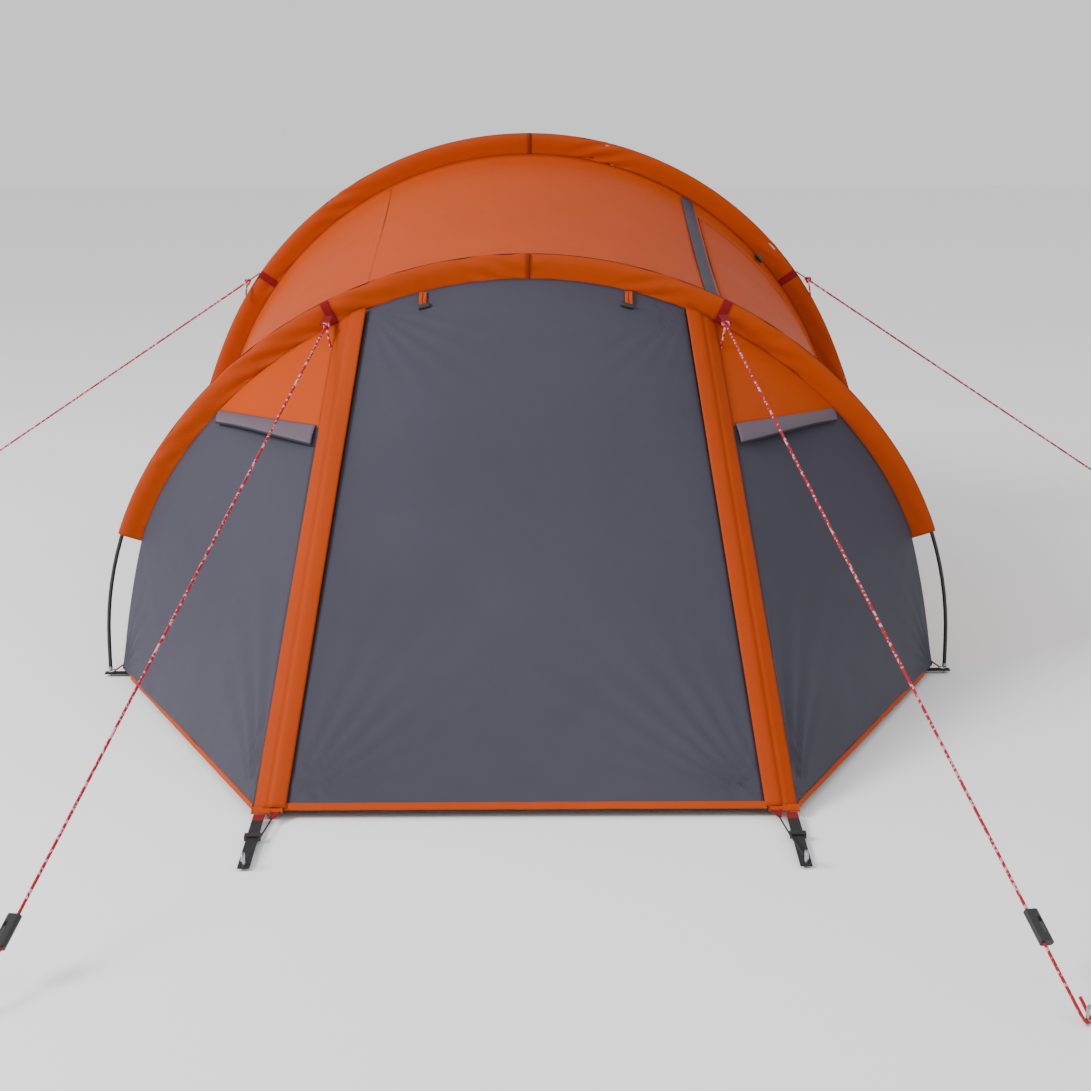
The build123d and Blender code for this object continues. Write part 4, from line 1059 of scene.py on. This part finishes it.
def ribbon(name, node, body, finish=None):
    """A loop of ribbon that hangs from the sleeve and holds its toggle."""
    bottom, top = low(node), high(node)
    middle = (bottom + top) / 2
    across = Vector((1, 0, 0)) if node != "toggle_ribbon_side_door" else Vector((0.74, 0, -0.67))
    hang_from = Vector((middle.x, top.y, top.z))
    hang_to = Vector((middle.x, bottom.y, bottom.z))
    run = hang_to - hang_from
    out = run.cross(across).normalized()
    for number, offset in (("near", -4.2 * MM), ("far", 4.2 * MM)):
        def surface(u, v, offset=offset):
            p = hang_from + run * v + across * (offset + (u - 0.5) * 7.0 * MM)
            return p + out * (2.0 * MM * math.sin(math.pi * v) + 0.6 * MM * math.cos(5 * u + 7 * v))
        piece = grid(f"{name}_{number}", surface, spread_of(5), spread_of(14), None, None, ORANGE, 1.0 * MM)
        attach(piece, body)
        if offset < 0:
            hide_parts(node)


ribbon("ribbon_door_left", "toggle_ribbon_door_left", "toggle_door_left")
ribbon("ribbon_door_right", "toggle_ribbon_door_right", "toggle_door_right")
ribbon("ribbon_side_door", "toggle_ribbon_side_door", "toggle_side_door")

# %% [markdown]
# The load goes into the cloth through red webbing. A short strap crosses the sleeve at each guy point,
# and the line is tied to it with a stopper knot. Each hem corner has a second red tab, with a black
# elastic loop that goes to the same peg as the strap.

# %% Straps, knots and loops
def sleeve_strap(name, hoop, angle, face):
    """Webbing over one face of a sleeve, from its rim to its stitching."""
    def surface(u, v):
        depth, along = sleeve_section(lerp(0.03, 0.47, v))
        x, z = hoop.at(angle + (u - 0.5) * 19 * MM / hoop.big, -depth - 0.8 * MM)
        return Vector((x, hoop.y + face * (along + 1.6 * MM), z))

    piece = grid(name, surface, spread_of(8), spread_of(24), lambda u, v, p, n: 0.5 * MM * ripple(p, 0.02, 80), None,
                 RED_TAPE, 1.6 * MM)
    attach(piece, "fly")


def knot(name, centre, tail, finish=None):
    """A stopper knot, with the cord's short tail."""
    line = bpy.data.curves.new(name, "CURVE")
    line.dimensions, line.bevel_depth, line.bevel_resolution = "3D", 2.3 * MM, 3
    ball = line.splines.new("POLY")
    turns = 48
    ball.points.add(turns - 1)
    for i in range(turns):
        t = math.tau * i / turns
        point = Vector((math.sin(t) + 2 * math.sin(2 * t), -math.sin(3 * t), math.cos(t) - 2 * math.cos(2 * t)))
        ball.points[i].co = (*(Vector(centre) + point * 2.6 * MM), 1)
    ball.use_cyclic_u = True
    end = line.splines.new("NURBS")
    end.points.add(3)
    for control, share in zip(end.points, (0, 0.3, 0.7, 1)):
        control.co = (*(Vector(centre) + Vector(tail) * share + Vector((0, -6 * MM, 5 * MM)) * math.sin(3 * share)), 1)
    end.order_u = 3
    end.use_endpoint_u = True
    line.materials.append(finish or CORD)
    piece = bpy.data.objects.new(name, line)
    bpy.context.collection.objects.link(piece)
    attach(piece, "fly")


for name, side in (("left", -1), ("right", 1)):
    sleeve_strap(f"strap_front_{name}", FRONT, side * FRONT.angle_at_x(0.428), -1)
    sleeve_strap(f"strap_main_{name}", MAIN, side * math.radians(54), -1)
    knot(f"knot_front_{name}", (side * 0.4225, -0.9700, 0.7795), (side * -0.010, -0.006, -0.050))
    knot(f"knot_main_{name}", (side * 0.7485, 0.1725, 0.7815), (side * 0.006, -0.012, -0.045))


def elastic_loop(name, start, peg):
    """A thin black cord from the inner corner tab to the peg."""
    line = bpy.data.curves.new(name, "CURVE")
    line.dimensions, line.bevel_depth, line.bevel_resolution = "3D", 1.5 * MM, 3
    spline = line.splines.new("NURBS")
    start, peg = Vector(start), Vector(peg)
    points = [start, start.lerp(peg, 0.35) - Vector((0, 0, 2 * MM)), start.lerp(peg, 0.75), peg]
    spline.points.add(len(points) - 1)
    for control, point in zip(spline.points, points):
        control.co = (*point, 1)
    spline.order_u = 3
    spline.use_endpoint_u = True
    line.materials.append(ELASTIC)
    piece = bpy.data.objects.new(name, line)
    bpy.context.collection.objects.link(piece)
    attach(piece, "fly")


for end, toward, hem_y in (("front", -1, FRONT_HEM), ("rear", 1, REAR_HEM)):
    for name, side in (("left", -1), ("right", 1)):
        base_x = side * 0.440

        def tab(u, v):
            half = lerp(11 * MM, 3.5 * MM, v)
            return Vector((base_x + side * 4 * MM * v + (u - 0.5) * 2 * half, hem_y + toward * (2 * MM + 34 * MM * v),
                           HEM - 1 * MM - 4 * MM * v + 0.8 * MM * math.cos(6 * u)))

        piece = grid(f"corner_tab_{end}_{name}", tab, spread_of(6), spread_of(10), None, None, RED_TAPE, 1.6 * MM)
        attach(piece, "fly")
        elastic_loop(f"corner_elastic_{end}_{name}", tab(0.5, 0.93),
                     (side * 0.4605, hem_y + toward * 0.2345, 17 * MM))

# %% Feet
for number, hoop in (("front", FRONT), ("middle", MAIN), ("rear", REAR)):
    for name, side in (("left", -1), ("right", 1)):
        foot = Vector((side * hoop.half, hoop.y, 12 * MM))
        ring = [foot + Vector((side * -4 * MM + 8.5 * MM * math.cos(a), 8.5 * MM * math.sin(a), 1.5 * MM * math.cos(a)))
                for a in [math.tau * i / 40 for i in range(41)]]
        tube(f"foot_ring_{number}_{name}", ring,
             lambda share, angle, i, ring=ring, foot=foot: ((ring[i] - foot).normalized() * math.cos(angle)
                                                            + Vector((0, 0, math.sin(angle)))) * 1.3 * MM,
             "fly", STEEL)
        inner_x = hoop.edge(side * (hoop.half - SEAM_INSET), HEM)

        def foot_tab(u, v):
            x = lerp(inner_x, side * (hoop.half - 11 * MM), v)
            return Vector((x, hoop.y + (u - 0.5) * lerp(20 * MM, 11 * MM, v), lerp(HEM + 6 * MM, 13 * MM, v)
                           + 0.6 * MM * math.cos(7 * u)))

        piece = grid(f"foot_tab_{number}_{name}", foot_tab, spread_of(6), spread_of(8), None, None, RED_TAPE, 1.6 * MM)
        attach(piece, "fly")

# %% [markdown]
# The light: one large soft key from the upper left, a weaker fill from the right, and a pale sky.

# %% Floor, lights and camera
bpy.ops.mesh.primitive_plane_add(size=60, location=(0, 0, 0))
floor = bpy.context.object
floor.name = "floor"
pale = Finish("pale_floor", 0.9)
pale.shader.inputs["Base Color"].default_value = (0.96, 0.96, 0.96, 1)
floor.data.materials.append(pale.material)

sky = bpy.data.worlds.new("studio")
bpy.context.scene.world = sky
sky.use_nodes = True
sky.node_tree.nodes["Background"].inputs["Color"].default_value = (1, 1, 1, 1)
sky.node_tree.nodes["Background"].inputs["Strength"].default_value = 0.95


def soft_light(name, place, target, size, power):
    lamp = bpy.data.lights.new(name, "AREA")
    lamp.energy, lamp.size = power, size
    holder = bpy.data.objects.new(name, lamp)
    holder.location = place
    holder.rotation_euler = (Vector(target) - Vector(place)).to_track_quat("-Z", "Y").to_euler()
    bpy.context.collection.objects.link(holder)


soft_light("key", (-5.5, -4.0, 4.5), (0, -0.5, 0.4), 2.6, 620)
soft_light("fill", (5.0, -6.0, 3.0), (0, -0.5, 0.4), 4.0, 40)

camera = bpy.data.cameras.new("camera")
camera.sensor_width = 36.0
camera.lens = 36.0 * 1996 / 1091
viewer = bpy.data.objects.new("camera", camera)
PITCH, YAW, ROLL = math.radians(12.15), 0.004, -0.003
viewer.matrix_world = (
    Matrix.Translation((0.023, FRONT.y - 4.274, 1.212))
    @ Matrix.Rotation(-YAW, 4, "Z")
    @ Matrix.Rotation(math.pi / 2 - PITCH, 4, "X")
    @ Matrix.Rotation(ROLL, 4, "Z")
)
bpy.context.collection.objects.link(viewer)
bpy.context.scene.camera = viewer
